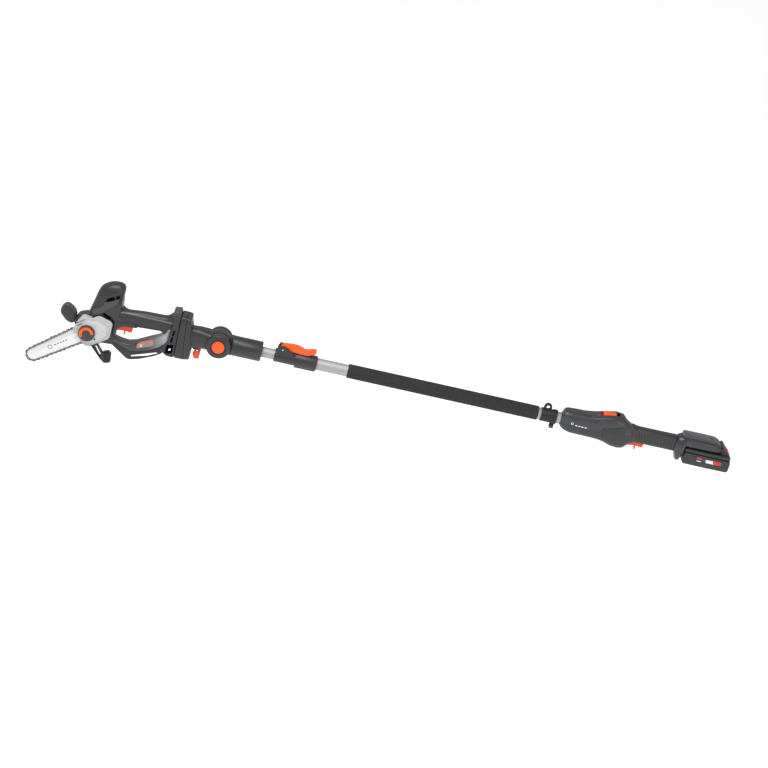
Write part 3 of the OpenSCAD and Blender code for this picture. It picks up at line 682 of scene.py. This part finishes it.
def saw_chain():
    points = chain_line(2.3)
    count = len(points)
    bm = bmesh.new()

    def link(a, b, kind, y0, y1, lean=0.0):
        way = (b - a)
        out = Vector((way.y, -way.x)).normalized()
        front, back = [], []
        for t, h in link_outline(kind):
            spot = a + way * t + out * h
            x, z = bar_point(spot.x, spot.y)
            bent = lean * max(0.0, h - 2.5)
            front.append(bm.verts.new(pole(x, y0 + bent, z)))
            back.append(bm.verts.new(pole(x, y1 + bent, z)))
        total = len(front)
        bm.faces.new(front)
        bm.faces.new(reversed(back))
        for i in range(total):
            k = (i + 1) % total
            bm.faces.new((front[k], front[i], back[i], back[k]))

    for i in range(count):
        a, b = points[i], points[(i + 1) % count]
        if i % 2:
            link(a, b, "drive", BAR_Y - 0.6, BAR_Y + 0.6)
            continue
        cutter = i % 8 == 0
        left = (i // 8) % 2 == 0
        for side in (-1, 1):
            here = cutter and (side < 0) == left
            lean = 0.45 * -side if here else 0.0
            middle = BAR_Y + side * 1.45
            link(a, b, "cutter" if here else "strap", middle - 0.55, middle + 0.55, lean)
    for point in points:
        x, z = bar_point(point.x, point.y)
        rings = [[bm.verts.new(pole(px, y, pz)) for px, pz in circle(x, z, 1.0, 8)]
                 for y in (BAR_Y - 2.2, BAR_Y + 2.2)]
        bm.faces.new(rings[0])
        bm.faces.new(reversed(rings[1]))
        for i in range(8):
            k = (i + 1) % 8
            bm.faces.new((rings[0][k], rings[0][i], rings[1][i], rings[1][k]))
    bmesh.ops.recalc_face_normals(bm, faces=bm.faces)
    obj = new_object("chain_links", bm)
    modify(obj, "BEVEL", width=0.12 * MM, segments=1, limit_method="ANGLE")
    bake(obj)
    finish_piece(obj, "saw_head", chain_steel, ["saw_chain"])


COVER = [(-826, -36), (-798, -71), (-788, -78), (-779, -78), (-750, -59), (-731, -46),
         (-727, -38), (-726, -2), (-731, 5), (-762, 14), (-770, 11), (-782, 2), (-803, 5),
         (-808, 2), (-817, -13), (-824, -32)]


def chain_cover():
    """Light metal side cover: a shell with ridges along the bar, dark lines of painted shade
    along the ridges, and a shallow facet coloured lighter as painted light.
    """
    obj = plate("cover_shell", [rounded(COVER, 4)], -36, -19, 1.8, "saw_head", cover_paint,
                ["chain_cover"])
    for low, high, rise in ((22.5, 26.5, 0.9), (29.0, 33.5, 1.6)):
        corners = [bar_point(-10, low), bar_point(30 - high / 2, low),
                   bar_point(30 - high / 2, high), bar_point(-8, high)]
        plate(f"cover_ridge_{int(low)}", [rounded(corners, 1.5)], -36 - rise, -35, 0.5,
              "saw_head", cover_paint)
    # Painted light: the facet plate is coloured lighter than the cover round it.
    facet = [(-800, -8), (-773, -3), (-767, -2), (-742, -10), (-738, -16), (-738, -40),
             (-757, -57), (-782, -69), (-806, -54), (-811, -34)]
    plate("cover_facet", [rounded(facet, 4)], -37, -35, 0.8, "saw_head", painted_facet_light)
    # Painted shade: two thin dark strips along the ridges stand in for the shade there.
    for low, high in ((27.0, 28.6), (34.0, 35.2)):
        line = [bar_point(-14, low), bar_point(29 - low / 2, low),
                bar_point(29 - low / 2, high), bar_point(-13, high)]
        plate(f"cover_groove_{int(low)}", [line], -36.5, -35.5, 0.1, "saw_head", dark_steel)
    plate("cover_knob_rim", [circle(*STUD, 25)], -38, -35, 0.8, "saw_head", cover_paint)
    border = [(-783, 2.5), (-763, 15.8), (-730, 6.6), (-724.4, -1), (-725.4, -39),
              (-729.5, -47.5), (-748, -61), (-776, -79.6), (-776, -30)]
    plate("cover_border", [rounded(border, 3)], -33, -18.6, 1.0, "saw_head", black_plastic)
    for x, z, r, material in ((-765, -53, 2.3, black_plastic), (-748, -26, 1.7, cover_paint),
                              (-768, -13, 1.5, cover_paint)):
        plate(f"cover_screw_{-x}", [circle(x, z, r, 20)], -37.6, -36, 0.3, "saw_head", material)
    return obj


def knob():
    """Bar knob: knurled rim, sunk middle and an orange fold-out tab round it."""
    rim = []
    for i in range(144):
        a = 2 * math.pi * i / 144
        r = 21.6 + 0.4 * math.cos(a * 24)
        rim.append((STUD[0] + r * math.cos(a), STUD[1] + r * math.sin(a)))
    plate("knob_rim", [rim], -45.5, -38.4, 1.0, "knob", dark_plastic, ["bar_knob"])
    plate("knob_face", [circle(*STUD, 19.8)], -47.2, -45, 0.8, "knob", knob_plastic)
    plate("knob_hub", [circle(*STUD, 9.8)], -48.6, -46.5, 0.9, "knob", knob_plastic)
    ring = circle(*STUD, 18.8, 48, 8, 222) + circle(*STUD, 11.2, 40, 8, 222)[::-1]
    plate("knob_flap", [rounded(ring, 2.2)], -49.6, -46.8, 1.1, "knob", orange_plastic,
          ["knob_tab"])


# ---------------------------------------------------------------- saw head

DOME = [
    [4, -795, -706, 24, 3.4], [12, -794, -706, 27.5, 3.2], [24, -791.5, -707, 28.8, 3.0],
    [36, -788.5, -708, 29, 3.0], [50, -785, -709.5, 29, 2.9], [66, -781.5, -711, 28.5, 2.8],
    [79, -777, -711, 27, 2.7], [88, -771, -710.5, 24.5, 2.5], [95, -762, -711.5, 21, 2.4],
    [100, -753, -714, 16.5, 2.3], [103, -745, -718, 11, 2.2], [104.3, -738, -724, 5, 2.1],
]


def dome_half(x, z):
    """Half width of the dome's side at x and z."""
    z = max(DOME[0][0], min(DOME[-1][0], z))
    k = max(i for i in range(len(DOME) - 1) if DOME[i][0] <= z)
    t = (z - DOME[k][0]) / (DOME[k + 1][0] - DOME[k][0])
    _, low, high, half, n = (a + (b - a) * t for a, b in zip(DOME[k], DOME[k + 1]))
    off = min(0.985, abs(x - (low + high) / 2) / ((high - low) / 2))
    return half * (1 - off**n) ** (1 / n)


def dome():
    """Motor dome with a raised belt, trim panel, air slots and a parting line."""
    loft("dome_shell", DOME, "z", "saw_head", dark_plastic, ["dome_cover"], steps=72)
    belt = [(-786, 6), (-785, 20), (-782, 27), (-770, 32), (-762, 39), (-757, 49), (-752, 58),
            (-730, 68), (-722, 72), (-715, 62), (-725, 52), (-743, 37), (-765, 18), (-783, 3)]
    trim = [(-783, 3), (-765, 18), (-743, 37), (-725, 52), (-716, 61), (-714, 40), (-716, 15),
            (-760, 15), (-772, 4)]
    slot = [(-758, 18), (-753, 24), (-732, 14.5), (-734, 10)]
    vents = [[(-754, 54.5), (-752.5, 64), (-735, 73), (-731, 65)],
             [(-729, 66), (-730, 75), (-722.5, 78), (-720.5, 70)]]
    seam = [(-722, 74), (-721, 77), (-714.6, 88), (-713.4, 87), (-718, 74)]
    for side in (-1, 1):
        end = "near" if side < 0 else "far"
        on_surface(f"dome_belt_{end}", belt, dome_half, 0.9, 2.2, "saw_head", band_plastic, side)
        on_surface(f"dome_trim_{end}", rounded(trim, 3), dome_half, 1.5, 3.0, "saw_head",
                   trim_plastic, side)
        # Painted shade: the side slot and the air slots are thin near-black panels in place of
        # their shaded insides.
        on_surface(f"side_slot_{end}", rounded(slot, 1.5), dome_half, 1.7, 1.5, "saw_head",
                   recess, side)
        for i, vent in enumerate(vents):
            on_surface(f"dome_vent_{i}_{end}", rounded(vent, 1.0), dome_half, 1.9, 2.5,
                       "saw_head", recess, side)
        on_surface(f"dome_seam_{end}", seam, dome_half, 0.25, 1.5, "saw_head", black_plastic,
                   side)


def body():
    """Gearbox body behind the cover, with the column that joins dome, handle and guard."""
    nose = [(-828, -26), (-824, -14), (-815, -7), (-797, 0), (-790, 14), (-712, 14), (-712, -10),
            (-716, -30), (-719, -60), (-722, -66), (-750, -68), (-782, -78), (-800, -70)]
    plate("body_shell", [rounded(nose, 5)], -18.5, 18.5, 2.5, "saw_head", trim_plastic,
          ["body_shell_left", "body_shell_right"])
    stations = [[-719, 66, 6.5, 0, 27.5, 3.5], [-717.5, 52, 7.5, 0, 28.6, 3.5],
                [-718.5, 38, 8.5, 0, 27.5, 3.6], [-721, 22, 8.5, 0, 25, 3.6],
                [-722, 6, 7.6, 0, 22, 3.6], [-721.5, -12, 6.2, 0, 20.5, 3.8],
                [-720.5, -32, 5.2, 0, 19.5, 4], [-720, -50, 5.0, 0, 19, 4],
                [-718.5, -66, 4.0, 0, 18.5, 4]]
    sweep("body_column", stations, "saw_head", trim_plastic)
    brow = [(-826, -16), (-820, -7), (-813, -3), (-796, 3), (-788, 10), (-786, 0), (-812, -14)]
    plate("nose_cap", [rounded(brow, 3)], -19.4, 19.4, 2, "saw_head", dark_plastic)
    # Painted shade: a thin near-black plate in place of the slot's shaded opening.
    slot = [(-815, -9), (-812, -6), (-804, -3), (-806, -6)]
    plate("nose_slot_shade", [rounded(slot, 1)], -20, -18, 0.3, "saw_head", black_plastic)


def handle():
    """Front handle: overmoulded loop that flows out of the column into the rear plate."""
    sections = [[-717, -14, 58, 23, 3.0], [-711, -9, 45, 20.5, 2.8], [-703, -8, 38, 18.6, 2.6],
                [-692, -7.5, 35, 17.3, 2.6], [-672, -7.5, 37, 17, 2.6],
                [-650, -6, 39, 17.2, 2.6], [-625, -4.5, 40, 17.4, 2.6],
                [-604, -3.5, 40.5, 17.6, 2.6], [-594, -8, 41.5, 18.0, 2.8],
                [-587, -15, 45, 17.8, 3], [-580, -24, 52, 17.2, 3.2], [-573, -34, 58, 17, 3.4]]
    obj = loft("handle_loop", sections, "x", "saw_head", handle_rubber,
               ["handle_grip", "handle_core"], fine=5)
    carve(obj, block(-722, -60, -672, 2), -8.9, 8.9)
    arch = [(-720, -24), (-715.5, -24), (-709, -13), (-695, -7.5), (-675, -6), (-665, -5.5),
            (-661, -1), (-673, 4), (-694, 3), (-718, 1)]
    for y0, y1 in ((-18, -9.2), (9.2, 18)):
        plate(f"trigger_arch_{int(y0)}", [rounded(arch, 3)], y0, y1, 1.6, "saw_head",
              trim_plastic)


def trigger(name, node, lock, body, dx=0.0, dz=0.0):
    """Trigger blade with rounded edges, its pivot ear and a slot for the lock."""
    outline = [(-716, -26), (-713, -20.5), (-714, -12), (-709, -5.5), (-700, -6), (-675, -7.5),
               (-674.3, -20), (-676.5, -25), (-682, -26.5), (-688, -23.8), (-700, -24.5)]
    moved = [(x + dx, z + dz) for x, z in outline]
    obj = plate(name, [rounded(moved, 2.2)], -8.3, 8.3, 1.6, body, red_plastic, [node])
    carve(obj, block(-696.6 + dx, -32 + dz, -691.4 + dx, -8 + dz), -2.3, 2.3)
    prong = [(-696.2, -14), (-696.2, -29), (-697.2, -36), (-695.5, -38), (-693.2, -37.4),
             (-691.8, -29), (-691.8, -14)]
    moved = [(x + dx, z + dz) for x, z in prong]
    plate(name + "_prong", [rounded(moved, 1.2)], -2, 2, 0.7, lock, red_plastic, [lock])


def lower_guard():
    """Hand guard loop under the handle: top cover, trim shell with a long slot, key panel."""
    top = [(-721, -47), (-700, -53), (-679, -55), (-660, -49), (-642, -39), (-622, -28),
           (-606, -20), (-596, -13), (-588, -3), (-582, 12), (-576, 12), (-576, -36),
           (-590, -41), (-602, -49),
           (-625, -62), (-650, -71), (-667, -74), (-678, -73), (-697, -65), (-721, -56)]
    # The top cover's material carries the painted highlight towards its rear end.
    plate("guard_top", [rounded(top, 5)], -19, 19, 4.5, "saw_head", guard_plastic)
    shell = [(-722, -53), (-697, -62), (-676, -71), (-660, -71), (-625, -60), (-602, -47),
             (-588, -38), (-586, -60), (-610, -75), (-645, -91), (-668, -97.5), (-677, -96),
             (-697, -82), (-716, -69), (-722, -64)]
    slot = [(-666, -84.5), (-665, -88.8), (-622, -76), (-599, -64), (-600, -60.5)]
    for y0, y1 in ((-18.4, -12.5), (12.5, 18.4)):
        plate(f"guard_rail_{int(y0)}", [rounded(shell, 5), rounded(slot, 2)], y0, y1, 2.0,
              "saw_head", rail_plastic)
    core = [(-716, -54), (-697, -63), (-676, -72), (-660, -72), (-625, -61), (-602, -48),
            (-588, -38), (-588, -50), (-612, -62), (-664, -79), (-678, -84), (-700, -72),
            (-716, -62)]
    plate("guard_core", [rounded(core, 3)], -13.5, 13.5, 1, "saw_head", rail_plastic)
    panel = [(-655, -61), (-656, -50), (-651, -43), (-620, -27), (-613, -29), (-612, -38),
             (-618, -46)]
    plate("key_panel_rim", [rounded(panel, 3)], -19.8, -15, 0.5, "saw_head", red_plastic)
    inner = [(-653.3, -59), (-654, -50), (-650, -44.5), (-620, -29), (-614.6, -30.5),
             (-613.8, -37.5), (-619, -44.6)]
    plate("key_panel", [rounded(inner, 2.5)], -20.2, -16, 0.4, "saw_head", key_film,
          ["status_panel"])


def rear_plate():
    """Rear plate of the saw head: it slides down over the pole's adapter."""
    side = [(-577, 58), (-556, 60), (-554.3, 56), (-554.3, -60), (-560, -62.5), (-574, -62),
            (-594, -50), (-595, -42), (-583, -29), (-578, -18), (-575.5, 0), (-573, 38)]
    window = [(-573, -50), (-573, -37), (-564.8, -33), (-564.8, -46)]
    obj = plate("rear_plate", [rounded(side, 3), rounded(window, 1.5)], -24, 24, 2.2,
                "saw_head", trim_plastic, ["interface_plate"])
    carve(obj, block(-562.3, -66, -557.2, 44.3), -17.3, 17.3)
    carve(obj, block(-558, -66, -550, 44.3), -12.3, 12.3)
    carve(obj, block(-573.5, -80, -564.5, -36), -15, 30)
    lip = [(-578, 47), (-577, 63), (-573, 66), (-557, 67), (-555.5, 50)]
    plate("rear_plate_lip", [rounded(lip, 2)], -21, 21, 2.5, "saw_head", band_plastic)
    # Painted shade: two near-black patches on the plate's side.
    for i, (x, z) in enumerate(((-567, 6), (-568.5, -13))):
        patch = [(x - 3, z - 8), (x - 1.5, z + 8), (x + 3.5, z + 9), (x + 2.5, z - 7)]
        plate(f"plate_patch_{i}", [rounded(patch, 2)], -24.5, -23, 0.3, "saw_head",
              recess)
    # Painted shade: a near-black frame round the window on each side.
    for y0, y1 in ((-24.6, -23), (23, 24.6)):
        frame_line = [(-580, -55), (-579, -30), (-560.5, -25), (-560.5, -51)]
        hole = [(-571.5, -48), (-571.5, -40), (-566.3, -37), (-566.3, -45)]
        plate(f"window_rim_{int(y1)}", [rounded(frame_line, 2), rounded(hole, 1)], y0, y1, 0.3,
              "saw_head", recess)


def hand_guard():
    outline = [(-858, 15), (-868, 5), (-869, -12), (-850, -32), (-832, -36), (-825, -26),
               (-825, -4), (-836, 9), (-850, 16)]
    # Painted highlight: the blade is in the lighter band plastic and a darker face plate covers
    # its near side, so the lighter rim round the face stands for light on the rounded edge.
    plate("guard_blade", [rounded(outline, 9, 6)], -9, 13, 4.5, "saw_head", band_plastic,
          ["hand_guard"])
    inner = [(-855, 11), (-863, 3), (-864, -10), (-849, -27), (-834, -30), (-829, -22),
             (-829, -5), (-838, 6), (-850, 11.5)]
    plate("guard_blade_face", [rounded(inner, 8, 6)], -10, 0, 0.8, "saw_head", dark_plastic)


def branch_hook():
    outline = [(-784, -75), (-760, -75), (-743, -100), (-736, -95), (-727, -91), (-718, -97),
               (-716, -122), (-732, -127), (-743, -119)]
    hole = [(-767, -82), (-758, -82), (-741, -104), (-748, -110)]
    plate("hook_arm", [rounded(outline, 3), rounded(hole, 2)], -12, 4, 2.0, "saw_head",
          trim_plastic, ["branch_hook"])
    pad = [(-737, -97), (-727, -93), (-720, -98), (-719, -118), (-733, -122)]
    plate("hook_pad", [rounded(pad, 3)], -13.2, -11, 0.8, "saw_head", black_plastic)


# ---------------------------------------------------------------- adapter and tilt joint


def adapter():
    sections = [[-554, -61, 57, 28.6, 7], [-552.6, -63, 59, 30, 7], [-533, -63, 59, 30, 7],
                [-532, -61.5, 57.5, 29, 7], [-531, -63, 59, 30, 7], [-517, -60, 58, 30, 7],
                [-514, -58, 56.5, 28.6, 6], [-513, -55, 54, 26, 5], [-512.8, -38, 40, 24, 4.4],
                [-510, -36, 38, 23, 4], [-509, -33, 35, 21, 3.6]]
    obj = loft("adapter_body", sections, "x", "neck", dark_plastic, ["adapter_block"], fine=1,
               steps=96, angle=30.0)
    front, top = pole(-554, 0, 58)[0], pole(-554, 0, 58)[2]
    for vertex in obj.data.vertices:
        fall = (top - vertex.co.z) / (120 * MM)
        vertex.co.x = front + (vertex.co.x - front) * (0.66 + 0.34 * fall)
    for side in (-1, 1):
        ear = [(-512, -16), (-512, -27), (-507, -30), (-500, -30), (-497, -16)]
        plate(f"latch_ear_{side + 1}", [rounded(ear, 2)], side * 13 - 1.5, side * 13 + 1.5, 0.6,
              "neck", dark_plastic)
    rail = [(-562, -48), (-562, 44), (-557.5, 44), (-557.5, -48)]
    plate("adapter_rail", [rail], -17, 17, 0.5, "neck", dark_plastic)
    web = [(-560, -48), (-560, 44), (-552, 44), (-552, -48)]
    plate("adapter_web", [web], -12, 12, 0.4, "neck", dark_plastic)


def fork():
    """Neck with two round cheeks over the pole's tongue."""
    sections = [[-528, -24, 29, 22, 3.2], [-512, -24, 29, 22.5, 3.2],
                [-500, -24.5, 30, 24, 3], [-488, -24.5, 29.5, 25.5, 3],
                [-474, -24, 28, 27.5, 3], [-462, -22, 27, 29, 3], [-450, -18, 24, 28, 3]]
    neck = loft("fork_neck_shell", sections, "x", "neck", dark_plastic, ["fork_neck"])
    carve(neck, circle(PIVOT_X, 0, 33.6, 72), -13.8, 13.8)
    for side in (-1, 1):
        low, high = sorted((side * 13.8, side * 36))
        cheek = plate(f"fork_cheek_{side + 1}", [circle(PIVOT_X, 0, 33, 96)], low, high, 5.0,
                      "neck", dark_plastic)
        if side < 0:
            carve(cheek, circle(PIVOT_X, 0, 17.3, 64), -40, -26)
    seat = [circle(PIVOT_X, 0, 20.5, 72), circle(PIVOT_X, 0, 17.4, 72)]
    plate("button_seat", seat, -36.4, -34, 0.4, "neck", black_plastic)
    plate("button_cap", [circle(PIVOT_X, 0, 16.8, 72)], -38.5, -33, 1.6, "joint_button",
          orange_plastic, ["joint_button"])


# ---------------------------------------------------------------- rear end


def marks():
    """Plain print: a ring and dashes on the housing."""
    ring = [circle(512.7, 4.2, 3.6, 32), circle(512.7, 4.2, 2.3, 32)]
    plate("print_ring", ring, -29.95, -29.3, 0.05, "pole_base", white_print)
    for i in range(4):
        x, z = 521.4, 1.2
        dash = block(x + i * 8.5, z - 1.2 - i * 0.15, x + i * 8.5 + 6, z + 1.2 - i * 0.15)
        plate(f"print_dash_{i}", [dash], -29.95, -29.3, 0.05, "pole_base", white_print)


def dock():
    """Battery dock: faceted hood with a thin front leg, lighter top panel and slide rails."""
    sections = [[797.5, -17, 20, 18.5, 2.8], [801, -25, 27, 22, 2.6], [806, -40, 30.5, 26, 2.4],
                [811, -43, 32.5, 29, 2.4], [815, -41, 33.6, 31, 2.6], [819, -27, 34.6, 32, 3],
                [820.8, -20, 35, 32.4, 3.4], [821.2, 8.4, 35, 32.6, 4.4], [866, 8.4, 35, 33, 4.4],
                [903, 8.4, 34.6, 32.4, 4.2], [912, 8.4, 31.5, 30, 4], [918.8, 8.4, 27, 26, 4]]
    obj = loft("dock_hood", sections, "x", "pole_base", dock_side, ["dock_cover"], fine=1,
               steps=72)
    carve(obj, block(821.6, -5, 930, 14.3), -16.3, 16.3)
    carve(obj, block(821.6, 10.7, 930, 14.3), -20.3, 20.3)
    carve(obj, block(812, 20, 900, 31), -13, 13)
    top = [[32.5, 812, 907, 23.5, 7], [35.6, 813, 906, 22.8, 7], [36.4, 815.5, 903.5, 20.5, 6]]
    loft("dock_top", top, "z", "pole_base", dock_plastic, fine=1, steps=96)
    ring = [[36.2, 884, 896, 6, 2], [36.8, 884.4, 895.6, 5.6, 2]]
    loft("dock_emblem", ring, "z", "pole_base", dock_side, fine=1, steps=40)


def battery():
    """Slide battery with rounded corners, a label recess and foot notches."""
    case = [[823.2, -33, -6, 32, 5], [824.4, -36, -3.4, 35, 6], [827, -37.8, -2.1, 36.8, 8],
            [889, -38, -2, 37, 9], [946, -37.8, -2.1, 36.8, 8], [949.4, -36, -3.6, 35, 6],
            [950.8, -33, -6.5, 32, 5]]
    obj = loft("battery_shell", case, "x", "battery", dark_plastic, ["battery_case"], fine=1,
               steps=96)
    for x in (856, 913):
        carve(obj, block(x, -40, x + 6, -36.4), -40, 40)
    lid = [[823.4, 0, 5, 31, 5], [824.6, -1, 7, 34.6, 6], [828, -1.8, 7.9, 36, 8],
           [938, -1.8, 7.9, 36, 8], [946, -1.6, 6.5, 35, 6], [948.8, -0.5, 4, 31, 5]]
    top = loft("battery_top", lid, "x", "battery", dark_plastic, ["battery_lid"], fine=1,
               steps=96)
    plate("battery_rail", [block(826, 6, 916, 12)], -16, 16, 0.4, "battery", dark_plastic)
    plate("battery_tongue", [block(826, 11, 916, 14)], -20, 20, 0.4, "battery", dark_plastic)
    ramp = [(920, 6), (920, 28), (925, 28), (948, 5), (948, 4)]
    ramp = plate("battery_ramp", [rounded(ramp, 1.5)], -24, 24, 1, "battery", dark_plastic)
    for piece in (top, ramp):
        carve(piece, [(924.5, 18.6), (938.6, 4.5), (947.1, 13.0), (933.0, 27.1)], -12.4, 12.4)
    frame_line = [(850.2, -6.8), (932.7, -5.5), (937.8, -18.1), (855.5, -20.1)]
    plate("label_frame", [rounded(frame_line, 6)], -37.3, -36, 0.1, "battery", black_plastic)
    middle = Vector((sum(p[0] for p in frame_line) / 4, sum(p[1] for p in frame_line) / 4))
    inner = [tuple(middle + (Vector(p) - middle) * 0.94) for p in frame_line]
    plate("label_panel", [rounded(inner, 5)], -37.5, -36.5, 0.1, "battery", knob_plastic)
    prints = (
        ("label_pill", white_print,
         [(883.0, -11.0), (925.5, -10.1), (926.9, -19.2), (885.6, -19.9)], 3),
        ("label_pill_end", red_print,
         [(902.6, -10.6), (925.5, -10.1), (926.9, -19.2), (905.3, -19.4)], 3),
        ("label_mark", red_print,
         [(861.2, -8.4), (871.6, -8.0), (873.0, -12.8), (860.6, -12.9)], 1.2),
        ("label_line", white_print,
         [(860.1, -18.1), (872.0, -18.1), (872.6, -20.2), (860.7, -20.2)], 0.6),
    )
    for i, (name, material, outline, r) in enumerate(prints):
        top = -37.62 - 0.06 * (i == 1)
        plate(name, [rounded(outline, r)], top, -37, 0.03, "battery", material)


def tuck_belly():
    """Draws the housing's underside in towards its nose, below the level called top."""
    top, nose_x, heel_x, nose_depth = -4, 590, 676, 0.8
    for node in ("rear_shell_left", "rear_shell_right", "rear_pads"):
        for vertex in bpy.data.objects["look_" + node].data.vertices:
            x, z = vertex.co.x / MM + ORIGIN_X, vertex.co.z / MM + ORIGIN_Z
            if z < top:
                along = max(0.0, min(1.0, (x - nose_x) / (heel_x - nose_x)))
                keep = nose_depth + (1 - nose_depth) * along
                vertex.co.z = pole(0, 0, top + (z - top) * keep).z


def rear_collar():
    """Shiny step where the housing runs into the grip."""
    sections = [[672, -25, 27, 20, 2.6], [676, -26, 28, 20.9, 2.6],
                [680, -25.5, 27.6, 20.6, 2.6], [685, -23.4, 26.4, 19.6, 2.6],
                [690, -21.2, 25.4, 18.4, 2.6]]
    obj = loft("rear_collar", sections, "x", "pole_base", dark_plastic, fine=4)
    carve(obj, block(670, -50, 725, -6), -9, 9)


for node, obj in frame["nodes"].items():
    obj.data.materials.clear()
    obj.data.materials.append(black_plastic.data)

# Nodes shown as the CAD draws them: material and edge rounding in mm.
LOOKS = {
    "outer_tube": (tube_metal, 0.4), "inner_tube": (tube_metal, 0.4),
    "foam_grip": (foam_skin, 0.8), "strap_ring": (black_plastic, 0.9),
    "strap_screw": (dark_steel, 0.3), "clamp_body": (dark_plastic, 1.0),
    "clamp_pin": (steel, 0.3), "clamp_lever": (orange_plastic, 1.4),
    "clamp_pad": (black_plastic, 0.4), "tube_bush": (black_plastic, 0.4),
    "pole_socket": (dark_plastic, 1.6), "adapter_terminals": (gold, 0.1),
    "pivot_bolt": (steel, 0.5), "adapter_latch": (red_plastic, 0.8), "latch_pin": (steel, 0.3),
    "front_switch": (black_plastic, 0.4), "guide_bar": (bar_paint, 0.25),
    "bar_stud": (steel, 0.4), "drive_bearings": (steel, 0.4), "sprocket_shaft": (steel, 0.3),
    "drive_sprocket": (steel, 0.2), "face_gear": (steel, 0.1), "motor_stator": (copper, 0.4),
    "motor_rotor": (steel, 0.3), "motor_pinion": (steel, 0.1),
    "cooling_fan": (black_plastic, 0.2), "rear_shell_left": (housing_plastic, 0.9),
    "rear_shell_right": (housing_plastic, 0.9), "rear_grip": (rear_rubber, 0.6),
    "rear_pads": (dark_plastic, 0.7), "led_window": (latch_plastic, 0.4),
    "power_slider": (orange_plastic, 0.8), "control_board": (board_green, 0.2),
    "rear_switch": (black_plastic, 0.4), "dock_terminals": (gold, 0.1),
    "battery_cells": (cell_wrap, 0.5), "battery_latch": (latch_plastic, 0.6),
}
for node, (material, bevel) in LOOKS.items():
    from_cad(node, material, bevel)

tuck_belly()
saw_chain()
chain_cover()
knob()
dome()
body()
handle()
lower_guard()
rear_plate()
hand_guard()
branch_hook()
trigger("front_trigger_blade", "front_trigger", "front_trigger_lock", "front_trigger")
trigger("rear_trigger_blade", "rear_trigger", "rear_trigger_lock", "rear_trigger", 1391, -4.5)
adapter()
fork()
marks()
rear_collar()
dock()
battery()


# ---------------------------------------------------------------- floor, light, camera


FLOOR_Z = -0.75
EYE_LIFT = 24.0
EYE_TURN = 4.0
EYE_ROLL = 14.142
EYE_DISTANCE = 5.3
LENS = 93.75
LOOKED_AT = (2.979, -5.656, -12.206)
SKY_STRENGTH = 0.55


def stage():
    m = Material("floor_paper", roughness=0.95, specular_ior_level=0.05)
    soft = m.noise(3.0, 2.0)
    m.set("Base Color", m.mix(soft, (0.93, 0.93, 0.93), (0.95, 0.95, 0.95)))
    m.set("Emission Color", (1.0, 1.0, 1.0))
    m.set("Emission Strength", 0.45)
    bm = bmesh.new()
    bmesh.ops.create_grid(bm, x_segments=8, y_segments=8, size=14.0)
    floor = new_object("floor", bm)
    floor.location = (-0.4, 3.0, FLOOR_Z)
    floor.data.materials.append(m.data)


def light(name, place, target, size, power):
    data = bpy.data.lights.new(name, "AREA")
    data.shape = "RECTANGLE"
    data.size, data.size_y = size
    data.energy = power
    obj = bpy.data.objects.new(name, data)
    bpy.context.scene.collection.objects.link(obj)
    obj.location = place
    obj.rotation_euler = (Vector(target) - Vector(place)).to_track_quat("-Z", "Y").to_euler()


def camera():
    """Long lens from above the pole, rolled so that the pole slopes down."""
    lift, turn, roll = (math.radians(a) for a in (EYE_LIFT, EYE_TURN, EYE_ROLL))
    flat_part = math.cos(lift)
    look = Vector((math.sin(turn) * flat_part, math.cos(turn) * flat_part, -math.sin(lift)))
    flat = Vector((math.cos(turn), -math.sin(turn), 0.0))
    rise = flat.cross(look)
    right = flat * math.cos(roll) + rise * math.sin(roll)
    up = rise * math.cos(roll) - flat * math.sin(roll)
    data = bpy.data.cameras.new("camera")
    data.lens = LENS
    data.sensor_width = 36.0
    data.clip_end = 100.0
    obj = bpy.data.objects.new("camera", data)
    bpy.context.scene.collection.objects.link(obj)
    middle = pole(*LOOKED_AT)
    turned = Matrix((right, up, -look)).transposed().to_4x4()
    obj.matrix_world = Matrix.Translation(middle - look * EYE_DISTANCE) @ turned
    bpy.context.scene.camera = obj


def lights():
    world = bpy.data.worlds.new("studio")
    world.use_nodes = True
    back = world.node_tree.nodes["Background"]
    back.inputs[0].default_value = (1.0, 1.0, 1.0, 1.0)
    back.inputs[1].default_value = SKY_STRENGTH
    bpy.context.scene.world = world
    light("key", (-1.4, -1.2, 2.6), (-0.4, 0, 0), (2.4, 0.9), 75)
    light("fill", (1.6, -2.6, 1.0), (-0.2, 0, 0), (1.6, 1.0), 22)
    bpy.context.scene.view_settings.view_transform = "Standard"


stage()
lights()
camera()
